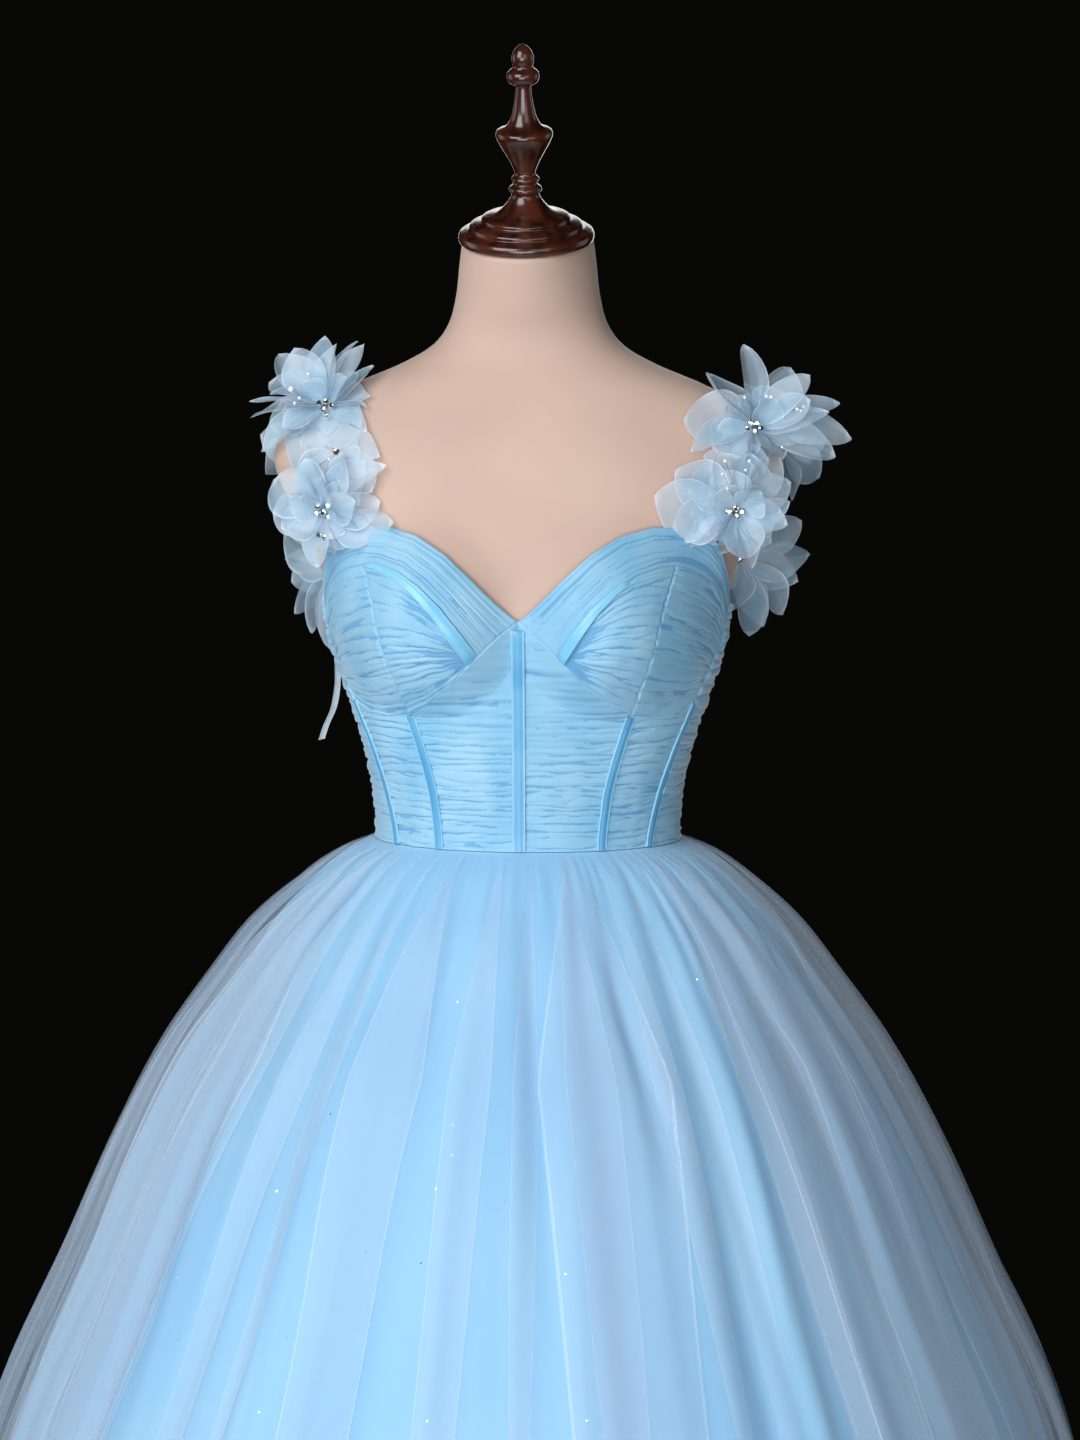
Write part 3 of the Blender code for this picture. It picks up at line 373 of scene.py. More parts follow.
SATIN_CREASES = [
    Crease(4.0, 3.0, 0.06, 0.24, 0.0060, -0.0045),
    Crease(12.0, -5.0, 0.18, 0.33, 0.0050, 0.0030),
    Crease(15.5, 9.0, 0.30, 0.45, 0.0045, -0.0035),
    Crease(-6.0, 2.0, 0.05, 0.34, 0.0090, -0.0045),
    Crease(-19.0, -4.0, 0.14, 0.52, 0.0110, 0.0050),
    Crease(-31.0, -6.0, 0.10, 0.60, 0.0120, -0.0060),
    Crease(27.0, 4.0, 0.08, 0.50, 0.0110, -0.0060),
    Crease(38.0, 5.0, 0.16, 0.66, 0.0100, 0.0050),
]


def fold_crests(count):
    """Angles of the fold crests round a skirt layer, unevenly spaced."""
    k = np.arange(count)
    return 360 / count * (k + 0.24 * np.sin(1.9 * k) + 0.12 * np.sin(4.3 * k + 1))


def fold_sink(angle, down, folds, depth):
    """How far a layer falls in between its fold crests; down is a share of its length."""
    crests = fold_crests(folds)
    angle = (angle - crests[0]) % 360 + crests[0]
    edges = np.append(crests, crests[0] + 360)
    fold = np.clip(np.searchsorted(edges, angle, "right") - 1, 0, folds - 1)
    share = (angle - edges[fold]) / (edges[fold + 1] - edges[fold])
    swell = 0.75 + 0.25 * np.sin(2.3 * fold + 0.7)
    return depth * swell * down ** 0.8 * (1 - np.cos(2 * pi * share)) / 2


def soft_creases(angle, drop, creases):
    """Listed creases: ridges where deep is above 0, troughs where it is below."""
    height = np.zeros_like(angle)
    for crease in creases:
        share = (drop - crease.start) / (crease.end - crease.start)
        middle = crease.angle + crease.slant * share
        away = ((angle - middle + 180) % 360 - 180) * np.radians(1) * (0.12 + 0.62 * drop)
        fade = np.clip(np.sin(pi * np.clip(share, 0, 1)), 0, 1) ** 0.7
        height += crease.deep * fade * np.exp(-(away / crease.wide) ** 2)
    return height


def round_skirt(hoops, angle, drop, stand, top=SKIRT_TOP):
    """Points round a skirt, at angles and drops below its top, standing out from its hoops."""
    half, front, back, square = (read_column(hoops, "drop", column, drop)
                                 for column in ("half_width", "front", "back", "square"))
    facing = np.cos(np.radians(angle))
    x = (half + stand) * rounded(np.sin(np.radians(angle)), square)
    y = -(np.where(facing > 0, front, back) + stand) * rounded(facing, square)
    return np.stack((x, y, top - drop), axis=-1)


def skirt_net(hoops, length, columns, rows, stand, sink, crowd=1.5):
    """Points down a skirt layer, with its rows closer together near the waist."""
    drop = length * np.linspace(0, 1, rows)[:, None] ** crowd
    angle = 360 * np.arange(columns)[None, :] / columns
    angle, drop = np.broadcast_arrays(angle, drop)
    return round_skirt(hoops, angle, drop, stand - sink(angle, drop))


def uneven(angle, count, seed):
    """A gathered wave round the waist with uneven pleats, from -1 to 1."""
    turn = np.radians(angle)
    drift = 1.7 * np.sin(5 * turn + seed) + 1.1 * np.sin(11 * turn + 2.1 * seed)
    size = 0.62 + 0.24 * np.sin(3 * turn + 1.7 * seed) + 0.20 * np.sin(8 * turn + 0.6 * seed)
    return size * np.cos(count * turn + drift + 0.8 * np.sin(23 * turn + 3.3 * seed))


def satin_sink(angle, drop):
    """How far the satin falls in behind its hoops."""
    gathers = uneven(angle, SATIN_GATHERS, 1.3) * np.clip(drop / 0.02, 0, 1) * np.exp(-drop / 0.09)
    long_wave = uneven(angle, SATIN_WAVES, 4.1) * np.clip(drop / 0.25, 0, 1)
    return (fold_sink(angle, drop / SATIN_LENGTH, SATIN_FOLDS, SATIN_FOLD_DEPTH)
            + SATIN_GATHER_DEPTH * gathers + SATIN_WAVE_DEPTH * long_wave
            - soft_creases(angle, drop, SATIN_CREASES))


satin = surface_finish("sky_blue_duchess_satin", "#7fd3ff", "#92dbff", (3, 3, 2.2),
                       (1400, 1400, 500), 0.00005, Roughness=0.36, Sheen_Weight=0.35,
                       Sheen_Roughness=0.35)
points = skirt_net(SATIN_HOOPS, SATIN_LENGTH, SATIN_COLUMNS, SATIN_ROWS, SATIN_STAND, satin_sink)
piece = make_piece("satin_underskirt", points, net_faces(SATIN_ROWS, SATIN_COLUMNS, closed=True),
                   [satin], ["satin_skirt"])


# Two layers of skirt tulle
# Two full skirts of fine soft nylon net, cut in flared gores and gathered hard into the
# waist seam, so that they stand out over the satin. Both hems are left raw.
TULLE_HOOPS = [
    Hoop(0.0000, 0.1205, 0.0920, 0.0820, 2.10),
    Hoop(0.0120, 0.1460, 0.1160, 0.1080, 2.08),
    Hoop(0.0300, 0.1710, 0.1410, 0.1340, 2.05),
    Hoop(0.0660, 0.2110, 0.1830, 0.1780, 2.00),
    Hoop(0.1110, 0.2460, 0.2210, 0.2170, 2.00),
    Hoop(0.1690, 0.2870, 0.2650, 0.2620, 2.00),
    Hoop(0.2440, 0.3280, 0.3090, 0.3070, 2.00),
    Hoop(0.3360, 0.3700, 0.3530, 0.3520, 2.00),
    Hoop(0.4500, 0.4230, 0.4080, 0.4080, 2.00),
    Hoop(0.6000, 0.4720, 0.4580, 0.4600, 2.00),
    Hoop(0.8000, 0.5320, 0.5200, 0.5230, 2.00),
    Hoop(1.0200, 0.5920, 0.5820, 0.5860, 2.00),
]
OUTER_LENGTH = 1.020
OUTER_STAND = 0.0056
OUTER_COLUMNS = 800
OUTER_ROWS = 122
OUTER_FOLDS = 32
OUTER_FOLD_DEPTH = 0.010
UNDER_LENGTH = 1.012
UNDER_STAND = 0.0035
UNDER_COLUMNS = 480
UNDER_ROWS = 90
UNDER_FOLDS = 14
UNDER_FOLD_DEPTH = 0.006
UNDER_WAVES = 27
UNDER_WAVE_DEPTH = 0.0030
UNDER_INSET = 0.020
UNDER_INSET_SLOPE = 0.20
FINE_GATHERS = 104
FINE_GATHER_DEPTH = 0.0014
MIDDLING_GATHERS = 53
MIDDLING_GATHER_DEPTH = 0.0028
BROAD_GATHERS = 25
BROAD_GATHER_DEPTH = 0.0034
# Long ridges and furrows of the outer layer, as they fall from the waist at the front
OUTER_CREASES = [
    Crease(-44.0, 2.0, 0.03, 0.46, 0.0090, 0.0060), Crease(-38.0, -3.0, 0.06, 0.60, 0.0080, 0.0050),
    Crease(-33.0, 3.0, 0.02, 0.38, 0.0090, -0.0055), Crease(-27.0, 1.5, 0.04, 0.52, 0.0070, 0.0055),
    Crease(-22.0, -2.5, 0.01, 0.30, 0.0070, 0.0060), Crease(-17.0, 2.0, 0.05, 0.66, 0.0100, -0.0050),
    Crease(-11.0, -2.5, 0.02, 0.20, 0.0060, -0.0060), Crease(-6.0, -1.0, 0.03, 0.55, 0.0080, 0.0050),
    Crease(1.5, 1.0, 0.02, 0.42, 0.0090, 0.0055), Crease(5.5, 2.0, 0.06, 0.34, 0.0070, -0.0055),
    Crease(9.0, 1.5, 0.03, 0.58, 0.0080, 0.0055), Crease(17.0, 9.0, 0.03, 0.21, 0.0055, -0.0075),
    Crease(19.0, 2.0, 0.02, 0.48, 0.0080, 0.0060), Crease(26.0, 1.0, 0.03, 0.62, 0.0090, 0.0050),
    Crease(31.0, 5.0, 0.05, 0.50, 0.0085, -0.0055), Crease(37.0, -2.0, 0.02, 0.36, 0.0080, 0.0060),
    Crease(43.0, 2.0, 0.04, 0.60, 0.0095, 0.0055), Crease(50.0, 3.0, 0.02, 0.44, 0.0090, -0.0050),
]


def hidden_creases(seed, first, last, count):
    """Creases like the front's, for the sides and the back that the photo hides."""
    draw = np.random.default_rng(seed)
    spread = np.linspace(first, last, count) + draw.uniform(-2.5, 2.5, count)
    return [Crease(angle, draw.uniform(-4, 4), draw.uniform(0.01, 0.07),
                   draw.uniform(0.28, 0.85), draw.uniform(0.0065, 0.0100),
                   draw.choice((-1, 1, 1)) * draw.uniform(0.0045, 0.0060)) for angle in spread]


outer_creases = OUTER_CREASES + hidden_creases(11, 57, 306, 40)
# Broader ones of the under layer, which show through as deeper and paler blue
UNDER_CREASES = [
    Crease(37.5, 2.0, 0.05, 0.98, 0.013, 0.012), Crease(32.5, 2.0, 0.04, 0.95, 0.015, -0.014),
    Crease(21.0, 5.0, 0.01, 0.25, 0.008, -0.010), Crease(-14.0, 0.0, 0.02, 0.20, 0.007, -0.007),
    Crease(5.0, 0.5, 0.03, 0.30, 0.009, -0.010), Crease(-27.5, -4.0, 0.12, 0.60, 0.012, 0.009),
    Crease(-48.0, -2.0, 0.12, 0.50, 0.010, 0.008), Crease(-21.0, -3.0, 0.05, 0.55, 0.012, -0.008),
    Crease(12.0, 3.0, 0.10, 0.62, 0.012, 0.007), Crease(50.0, 3.0, 0.06, 0.80, 0.013, -0.008),
    Crease(-38.0, -4.0, 0.04, 0.70, 0.013, -0.008),
]
under_creases = UNDER_CREASES + hidden_creases(29, 60, 302, 32)


def gather_waves(angle, drop, seed):
    """Gathers that start at the waist seam, run into each other and fade going down."""
    rise_in = np.clip(drop / 0.010, 0, 1)
    fine = FINE_GATHER_DEPTH * uneven(angle, FINE_GATHERS, seed) * np.exp(-drop / 0.035)
    middling = MIDDLING_GATHER_DEPTH * uneven(angle, MIDDLING_GATHERS, seed + 1)
    middling *= np.clip(drop / 0.03, 0, 1)
    broad = BROAD_GATHER_DEPTH * uneven(angle, BROAD_GATHERS, seed + 2)
    broad *= np.clip(drop / 0.07, 0, 1)
    return rise_in * (fine + middling * np.exp(-drop / 0.10) + broad * np.exp(-drop / 0.36))


def outer_sink(angle, drop):
    """How far the outer layer falls in behind its hoops."""
    return (fold_sink(angle, drop / OUTER_LENGTH, OUTER_FOLDS, OUTER_FOLD_DEPTH)
            - gather_waves(angle, drop, 2.0) - soft_creases(angle, drop, outer_creases))


def under_sink(angle, drop):
    """How far the under layer falls in, kept inside the outer one."""
    inset = np.minimum(UNDER_INSET, UNDER_INSET_SLOPE * drop)
    return (inset + fold_sink(angle, drop / UNDER_LENGTH, UNDER_FOLDS, UNDER_FOLD_DEPTH)
            - gather_waves(angle, drop, 7.0) - soft_creases(angle, drop, under_creases)
            - UNDER_WAVE_DEPTH * uneven(angle, UNDER_WAVES, 0.4) * np.clip(drop / 0.3, 0, 1))


net_outer = surface_finish("outer_soft_tulle", "#c0e0fa", "#cae5fb", (5, 5, 3), (1300, 1300, 1300),
                           0.00012, Roughness=0.80, Alpha=0.24, Sheen_Weight=0.65,
                           Sheen_Roughness=0.40)
net_under = surface_finish("under_soft_tulle", "#96d9fe", "#a6dffe", (5, 5, 3), (1300, 1300, 1300),
                           0.00012, Roughness=0.80, Alpha=0.76, Sheen_Weight=0.35,
                           Sheen_Roughness=0.40)
points = skirt_net(TULLE_HOOPS, UNDER_LENGTH, UNDER_COLUMNS, UNDER_ROWS, UNDER_STAND, under_sink)
piece = make_piece("tulle_under_skirt", points, net_faces(UNDER_ROWS, UNDER_COLUMNS, closed=True),
                   [net_under], ["tulle_under_layer"])
points = skirt_net(TULLE_HOOPS, OUTER_LENGTH, OUTER_COLUMNS, OUTER_ROWS, OUTER_STAND, outer_sink)
piece = make_piece("tulle_outer_skirt", points, net_faces(OUTER_ROWS, OUTER_COLUMNS, closed=True),
                   [net_outer], ["tulle_outer_layer"])


# Lapped pleats of the outer tulle
# Where the gathers fold over, the outer tulle lies two or three deep in long bands that start
# near the waist and open out downward. They show as paler veils with turned edges.
Lap = namedtuple("Lap", "angle slant start end wide layers")
FRONT_LAPS = [
    Lap(15.5, 1.0, 0.010, 0.98, 0.096, 1), Lap(12.5, 3.0, 0.030, 0.70, 0.036, 1),
    Lap(4.0, -1.0, 0.020, 0.60, 0.018, 1), Lap(-4.0, -3.0, 0.030, 0.80, 0.030, 1),
    Lap(-18.0, -2.0, 0.010, 0.98, 0.052, 1), Lap(-26.0, -5.0, 0.020, 0.50, 0.016, 1),
    Lap(-33.0, -6.0, 0.020, 0.98, 0.024, 1), Lap(-41.0, -8.0, 0.010, 0.60, 0.030, 1),
    Lap(-50.0, -4.0, 0.015, 0.98, 0.080, 2), Lap(-61.0, -3.0, 0.015, 0.98, 0.080, 2),
    Lap(24.0, 4.0, 0.012, 0.55, 0.018, 1), Lap(29.5, 6.0, 0.020, 0.90, 0.020, 1),
    Lap(38.0, 6.0, 0.010, 0.70, 0.022, 1), Lap(44.0, 4.0, 0.015, 0.98, 0.070, 2),
    Lap(52.0, 5.0, 0.015, 0.98, 0.074, 2),
]
LAP_ROWS = 60
LAP_STAND = 0.0024
LAYERS_APART = 0.0014
NARROWER_LAYER = 0.30
LAYER_ASIDE = 0.14
LAP_ACROSS = np.array([-1.0, -0.955, -0.6, -0.2, 0.2, 0.6, 0.955, 1.0])


def on_outer_skirt(angle, drop, out):
    """Points held off the outer skirt."""
    return round_skirt(TULLE_HOOPS, angle, drop, OUTER_STAND + out - outer_sink(angle, drop))


draw = np.random.default_rng(53)
laps = list(FRONT_LAPS)
for angle in np.arange(62, 292, 7.0):
    laps.append(Lap(angle + draw.uniform(-2, 2), draw.uniform(-5, 5), draw.uniform(0.01, 0.02),
                    draw.choice((0.60, 0.85, 0.98, 0.98)), draw.uniform(0.018, 0.085), 1))
points, faces = [], []
for lap in laps:
    share = np.linspace(0, 1, LAP_ROWS)[:, None]
    drop = lap.start / 5 + (lap.end - lap.start / 5) * share ** 1.5
    skirt_radius = 0.14 + 0.46 * drop ** 0.7
    opened = np.clip(drop / 0.15, 0.04, 1) ** 0.8
    closing = np.clip((1 - share) / 0.4, 0, 1) ** 0.5
    reach = np.degrees(lap.wide / 2 / skirt_radius) * opened * closing
    for layer in range(lap.layers):
        spread = (LAP_ACROSS[None, :] * reach * (1 - NARROWER_LAYER * layer)
                  + LAYER_ASIDE * layer * reach)
        angle = lap.angle + lap.slant * share + spread
        out = LAP_STAND + LAYERS_APART * layer
        first = len(points)
        points.extend(on_outer_skirt(angle, drop * np.ones_like(angle), out).reshape(-1, 3))
        faces.extend(net_faces(LAP_ROWS, len(LAP_ACROSS), first=first))
veil = surface_finish("lapped_soft_tulle", "#c5ddf7", "#cfe3f9", (5, 5, 3), (1300, 1300, 1300),
                      0.00012, Roughness=0.80, Alpha=0.21, Sheen_Weight=0.55,
                      Sheen_Roughness=0.40)
fold_edge = surface_finish("turned_edge_of_tulle", "#d4e8fc", "#def0fd", (5, 5, 3),
                           (1300, 1300, 1300), 0.00012, Roughness=0.80, Alpha=0.36,
                           Sheen_Weight=0.55, Sheen_Roughness=0.40)
piece = make_piece("tulle_pleat_laps", points, faces, [veil, fold_edge])
columns = np.arange(len(faces)) % (len(LAP_ACROSS) - 1)
turned = (columns == 0) | (columns == len(LAP_ACROSS) - 2)
piece.data.polygons.foreach_set("material_index", turned.astype(int))


# Bodice body: eight ruched panels
# Tulle gathered by hand into level ripples and sewn down over firm satin panels. The panels
# are joined at the centre front, side front, side, back and centre back seams.
BODICE_OUTSIDE = 0.0020
Mark = namedtuple("Mark", "angle rise")
UNDERBUST = [
    Mark(0.0, 0.1800), Mark(5.0, 0.1674), Mark(10.5, 0.1533), Mark(18.5, 0.1340),
    Mark(27.0, 0.1192), Mark(35.5, 0.1102), Mark(45.8, 0.1057), Mark(56.4, 0.1066),
    Mark(68.0, 0.1160),
]
FRONT_TOP = [Mark(0.0, 0.1830), Mark(9.5, 0.1560)] + UNDERBUST[3:]
BODICE_TOP = [
    Mark(83.0, 0.1925), Mark(90.0, 0.1900), Mark(105.0, 0.1870), Mark(120.0, 0.1840),
    Mark(140.0, 0.1800), Mark(160.0, 0.1740), Mark(180.0, 0.1680),
]
SIDE_FRONT_SEAM = [Mark(30.6, 0.000), Mark(31.6, 0.045), Mark(34.4, 0.090), Mark(35.5, 0.110)]
SIDE_SEAM = [
    Mark(54.0, 0.000), Mark(57.0, 0.027), Mark(59.2, 0.046), Mark(62.0, 0.066),
    Mark(65.3, 0.092), Mark(68.0, 0.116), Mark(83.2, 0.1925), Mark(83.8, 0.200),
]
BACK_SEAM = [Mark(118.0, 0.000), Mark(122.0, 0.200)]
CENTRE_FRONT = [Mark(0.0, 0.0), Mark(0.0, 0.2)]
CENTRE_BACK = [Mark(180.0, 0.0), Mark(180.0, 0.2)]
BodicePanel = namedtuple("BodicePanel", "name near far top columns rows pitch puff"
                         " flat_width flat_length")
BODICE_PANELS = [
    BodicePanel("front_panel", CENTRE_FRONT, SIDE_FRONT_SEAM, FRONT_TOP, 52, 340, 0.0050, 0.0018,
                0.090, 0.200),
    BodicePanel("side_front_panel", SIDE_FRONT_SEAM, SIDE_SEAM, UNDERBUST, 40, 300, 0.0052, 0.0021,
                0.060, 0.140),
    BodicePanel("side_panel", SIDE_SEAM, BACK_SEAM, BODICE_TOP, 60, 300, 0.0062, 0.0033,
                0.120, 0.225),
    BodicePanel("back_panel", BACK_SEAM, CENTRE_BACK, BODICE_TOP, 56, 280, 0.0058, 0.0026,
                0.152, 0.210),
]
TUCKED_UNDER = 0.0012
TOP_EDGE_SINK = 0.0004
TALLEST_PANEL = 0.30
PANEL_FINE = 0.018
HALVINGS = 32


def on_lines(marks, key, column, at):
    """A seam read between its marks on straight lines."""
    return np.interp(at, [getattr(mark, key) for mark in marks],
                     [getattr(mark, column) for mark in marks])


def ruched(across, up, wide, seed, pitch, height, tall=None):
    """Heights of gathered cloth: soft puffs between sharp uneven pinched creases.

    across and up are lengths over the cloth and wide its width between the seams. tall
    scales the lengths up the cloth where its creases draw together.
    """
    draw = np.random.default_rng(seed)
    reach = float(up.max())
    share = np.clip(across / wide, 0, 1)
    scale = 1.0 if tall is None else tall / reach
    puffs = np.ones_like(up)
    level = draw.uniform(0.2, 0.8) * pitch
    while level < reach:
        knots = np.clip(draw.uniform(0.25, 1.30, 8), 0, 1)
        sag = draw.normal(0, 0.26) * pitch
        lean = draw.normal(0, 0.30) * pitch
        ripple = draw.uniform(0.03, 0.11) * pitch
        path = (level + sag * np.sin(pi * share) + lean * (share - 0.5)
                + ripple * np.sin(share * draw.uniform(9, 19) + draw.uniform(0, 6)))
        strength = np.interp(share, np.linspace(0, 1, 8), knots)
        away = (up - path) * scale / pitch
        if draw.random() < 0.25:
            away = -away
        puffs *= 1 - strength * np.exp(-np.where(away > 0, away / 0.10, -away / 0.42))
        level += pitch * draw.uniform(0.62, 1.38)
    for number in range(int(2.3 * reach / pitch)):
        level = draw.uniform(0, reach)
        length = draw.uniform(0.22, 0.62)
        start = draw.choice((0.0, 1.0 - length, draw.uniform(0, 1 - length)))
        part = np.clip((share - start) / length, 0, 1)
        fade = np.sin(pi * part) ** 0.5 if 0 < start < 1 - length else (
            (1 - part if start == 0.0 else part) * (share >= start) * (share <= start + length))
        away = (up - level - draw.normal(0, 0.9) * pitch * (part - 0.5)) * scale / pitch
        puffs *= 1 - draw.uniform(0.30, 0.75) * fade * np.exp(
            -np.where(away > 0, away / 0.08, -away / 0.24))
    broad = 0.85 + 0.15 * np.sin(share * 7 + seed + up * 60)
    return height * puffs * broad


ruche_tulle = surface_finish("ruched_tulle_over_satin", "#80badc", "#96c6e2", (26, 26, 12),
                             (300, 300, 1500), 0.00016, Roughness=0.58, Sheen_Weight=0.45,
                             Sheen_Roughness=0.40)
# Painted shade: a deeper blue copy of the ruched tulle for the faces deep in the creases, where
# shade falls.
crease_shade_tulle = surface_finish("tulle_deep_in_the_creases", "#62a2cf", "#70acd6", (26, 26, 12),
                              (300, 300, 1500), 0.00016, Roughness=0.62, Sheen_Weight=0.30,
                              Sheen_Roughness=0.40)
PAINTED_SHADE_BELOW = 0.27
SEAM_ROLL = 0.0013
SEAM_SINK = 0.0005


def make_ruched(name, points, faces, raised, replaced):
    """A piece of gathered cloth with painted shade: a deeper blue on the faces deep in its creases.
    """
    piece = make_piece(name, points, faces, [ruche_tulle, crease_shade_tulle], replaced)
    # Faces lying low in a crease get the painted shade.
    low = raised / raised.max() < PAINTED_SHADE_BELOW
    middle = (low[:-1, :-1].astype(int) + low[1:, :-1] + low[:-1, 1:] + low[1:, 1:]) >= 3
    middle[:, :1] = middle[:, -1:] = middle[:1] = middle[-1:] = False
    piece.data.polygons.foreach_set("material_index", middle.reshape(-1).astype(int))
    return piece


def edge_roll(away):
    """How much the cloth turns in toward a seam: 0 inside the piece and 1 at its edge."""
    return np.clip(1 - away / SEAM_ROLL, 0, 1) ** 2


def packed(count, fine):
    """Shares from 0 to 1, with a closer one at each end to hold a rolled edge."""
    return np.concatenate(([0.0], np.linspace(fine, 1 - fine, count - 2), [1.0]))


def outward_faces(rows, columns, side):
    """Faces of a net that look outward on the wearer's left, side 1, or right, side -1."""
    faces = net_faces(rows, columns)
    return faces if side > 0 else [face[::-1] for face in faces]


def panel_angle(panel, share, rise):
    """The angle at a share of the way from a panel's near seam to its far one."""
    near = on_lines(panel.near, "rise", "angle", rise)
    return near * (1 - share) + on_lines(panel.far, "rise", "angle", rise) * share


def panel_tops(panel, share):
    """How high a panel rises at each share across, found by halving the span."""
    lap = -SEAM_GAP / 2 if panel.top is BODICE_TOP else TUCKED_UNDER
    low, high = np.zeros(panel.columns), np.full(panel.columns, TALLEST_PANEL)
    for _ in range(HALVINGS):
        middle = (low + high) / 2
        edge = on_lines(panel.top, "angle", "rise", panel_angle(panel, share, middle)) + lap
        low, high = np.where(middle < edge, middle, low), np.where(middle < edge, high, middle)
    return low


for side, word in ((1, "_left"), (-1, "_right")):
    for number, panel in enumerate(BODICE_PANELS):
        share = packed(panel.columns, PANEL_FINE)
        low = panel_tops(panel, share)
        rise = SEAM_GAP / 2 + (low - SEAM_GAP / 2) * np.linspace(1, 0, panel.rows)[:, None]
        angle = panel_angle(panel, share[None, :], rise)
        flat = body(angle, rise)
        steps = np.linalg.norm(np.diff(flat, axis=1), axis=-1)
        across = np.concatenate((np.zeros((panel.rows, 1)), np.cumsum(steps, axis=1)), axis=1)
        wide = across[:, -1:].mean()
        raised = ruched(share[None, :] * wide * np.ones_like(rise), rise, wide,
                        40 + 10 * number + side, panel.pitch, panel.puff)
        top_edge = low[None, :] - rise
        roll = np.maximum(edge_roll(np.minimum(share, 1 - share)[None, :] * wide),
                          edge_roll(top_edge))
        out = BODICE_OUTSIDE + raised * (1 - roll) - SEAM_SINK * roll
        out = out - TOP_EDGE_SINK * np.clip(1 - top_edge / TUCKED_UNDER, 0, 1)
        points = off_body(side * angle, rise, out)
        faces = outward_faces(panel.rows, panel.columns, side)
        piece = make_ruched("ruched_" + panel.name + word, points, faces, raised,
                            [panel.name + word])


# Cups
# Two-piece padded cups covered in tulle, whose pleats fan out from the low end of the neck
# edge toward the side. They are sewn to the underbust seam and along the neckline band.
Band = namedtuple("Band", "outer_angle outer_rise inner_angle inner_rise")
NECK_BAND = [
    Band(0.0, 0.1830, 9.5, 0.1560), Band(5.0, 0.1995, 14.3, 0.1766),
    Band(10.0, 0.2165, 19.0, 0.1943), Band(16.0, 0.2350, 24.3, 0.2090),
    Band(23.0, 0.2493, 30.0, 0.2195), Band(31.0, 0.2555, 37.0, 0.2250),
    Band(39.0, 0.2553, 43.0, 0.2258), Band(46.0, 0.2545, 49.0, 0.2225),
    Band(54.0, 0.2475, 56.0, 0.2168), Band(62.0, 0.2345, 63.5, 0.2085),
    Band(70.0, 0.2185, 70.5, 0.1985), Band(77.0, 0.2040, 75.5, 0.1880),
    Band(82.9, 0.1925, 80.0, 0.1780),
]
CupPanel = namedtuple("CupPanel", "name top_from top_to bottom_from bottom_to columns"
                      " flat_width flat_length flat_area")
CUP_PANELS = [
    CupPanel("cup_front", 9.56, 42.4, 9.54, 35.5, 84, 0.135, 0.140, 0.0081),
    CupPanel("cup_side", 42.4, 80.1, 35.5, 67.9, 84, 0.100, 0.140, 0.0113),
]
CUP_ROWS = 170
CUP_PITCH = 0.0068
CUP_PUFF = 0.0026
CUP_FINE_ACROSS = 0.014
CUP_FINE_DOWN = 0.007
FULL_PUFF_FROM = 0.035
LEAST_PUFF = 0.15
CUP_SIDE_ROLL = 2.2

for side, word in ((1, "_left"), (-1, "_right")):
    for number, cup in enumerate(CUP_PANELS):
        share = packed(cup.columns, CUP_FINE_ACROSS)
        down = packed(CUP_ROWS, CUP_FINE_DOWN)[:, None]
        top_angle = cup.top_from + (cup.top_to - cup.top_from) * share
        low_angle = cup.bottom_from + (cup.bottom_to - cup.bottom_from) * share
        top_rise = on_lines(NECK_BAND, "inner_angle", "inner_rise", top_angle)
        low_rise = on_lines(UNDERBUST, "angle", "rise", low_angle)
        angle = top_angle * (1 - down) + low_angle * down
        rise = top_rise * (1 - down) + low_rise * down
        flat = body(angle, rise)
        wide = np.linalg.norm(np.diff(flat, axis=1), axis=-1).sum(axis=1).mean()
        tall = np.linalg.norm(np.diff(flat, axis=0), axis=-1).sum(axis=0)[None, :]
        largest = float(tall.max())
        raised = ruched(share[None, :] * wide * np.ones_like(rise), (1 - down) * largest
                        * np.ones_like(rise), wide, 140 + 10 * number + side, CUP_PITCH,
                        CUP_PUFF, tall)
        raised = raised * np.clip(tall / FULL_PUFF_FROM, LEAST_PUFF, 1)
        edge = np.minimum(np.minimum(share, 1 - share)[None, :] * wide * CUP_SIDE_ROLL,
                          np.minimum(down, 1 - down) * tall)
        roll = edge_roll(edge)
        out = BODICE_OUTSIDE + raised * (1 - roll) - SEAM_SINK * roll
        points = off_body(side * angle, rise, out)
        faces = outward_faces(CUP_ROWS, cup.columns, side)
        piece = make_ruched("pleated_" + cup.name + word, points, faces, raised,
                            [cup.name + word])


# Neckline bands
# A folded bias band of pleated tulle on each side, sewn along the top of the cup from the
# point of the neckline out to the strap, and on down the armhole to the underarm.
BAND_STATIONS = 210
BAND_ROWS = 56
BAND_PITCH = 0.0046
BAND_PUFF = 0.0015
BAND_FINE_ALONG = 0.004
BAND_FINE_DOWN = 0.03

place_of = [number / (len(NECK_BAND) - 1) for number in range(len(NECK_BAND))]


def band_column(column, at):
    """A column of the neckline band at shares of the way along it."""
    return np.interp(at, place_of, [getattr(row, column) for row in NECK_BAND])


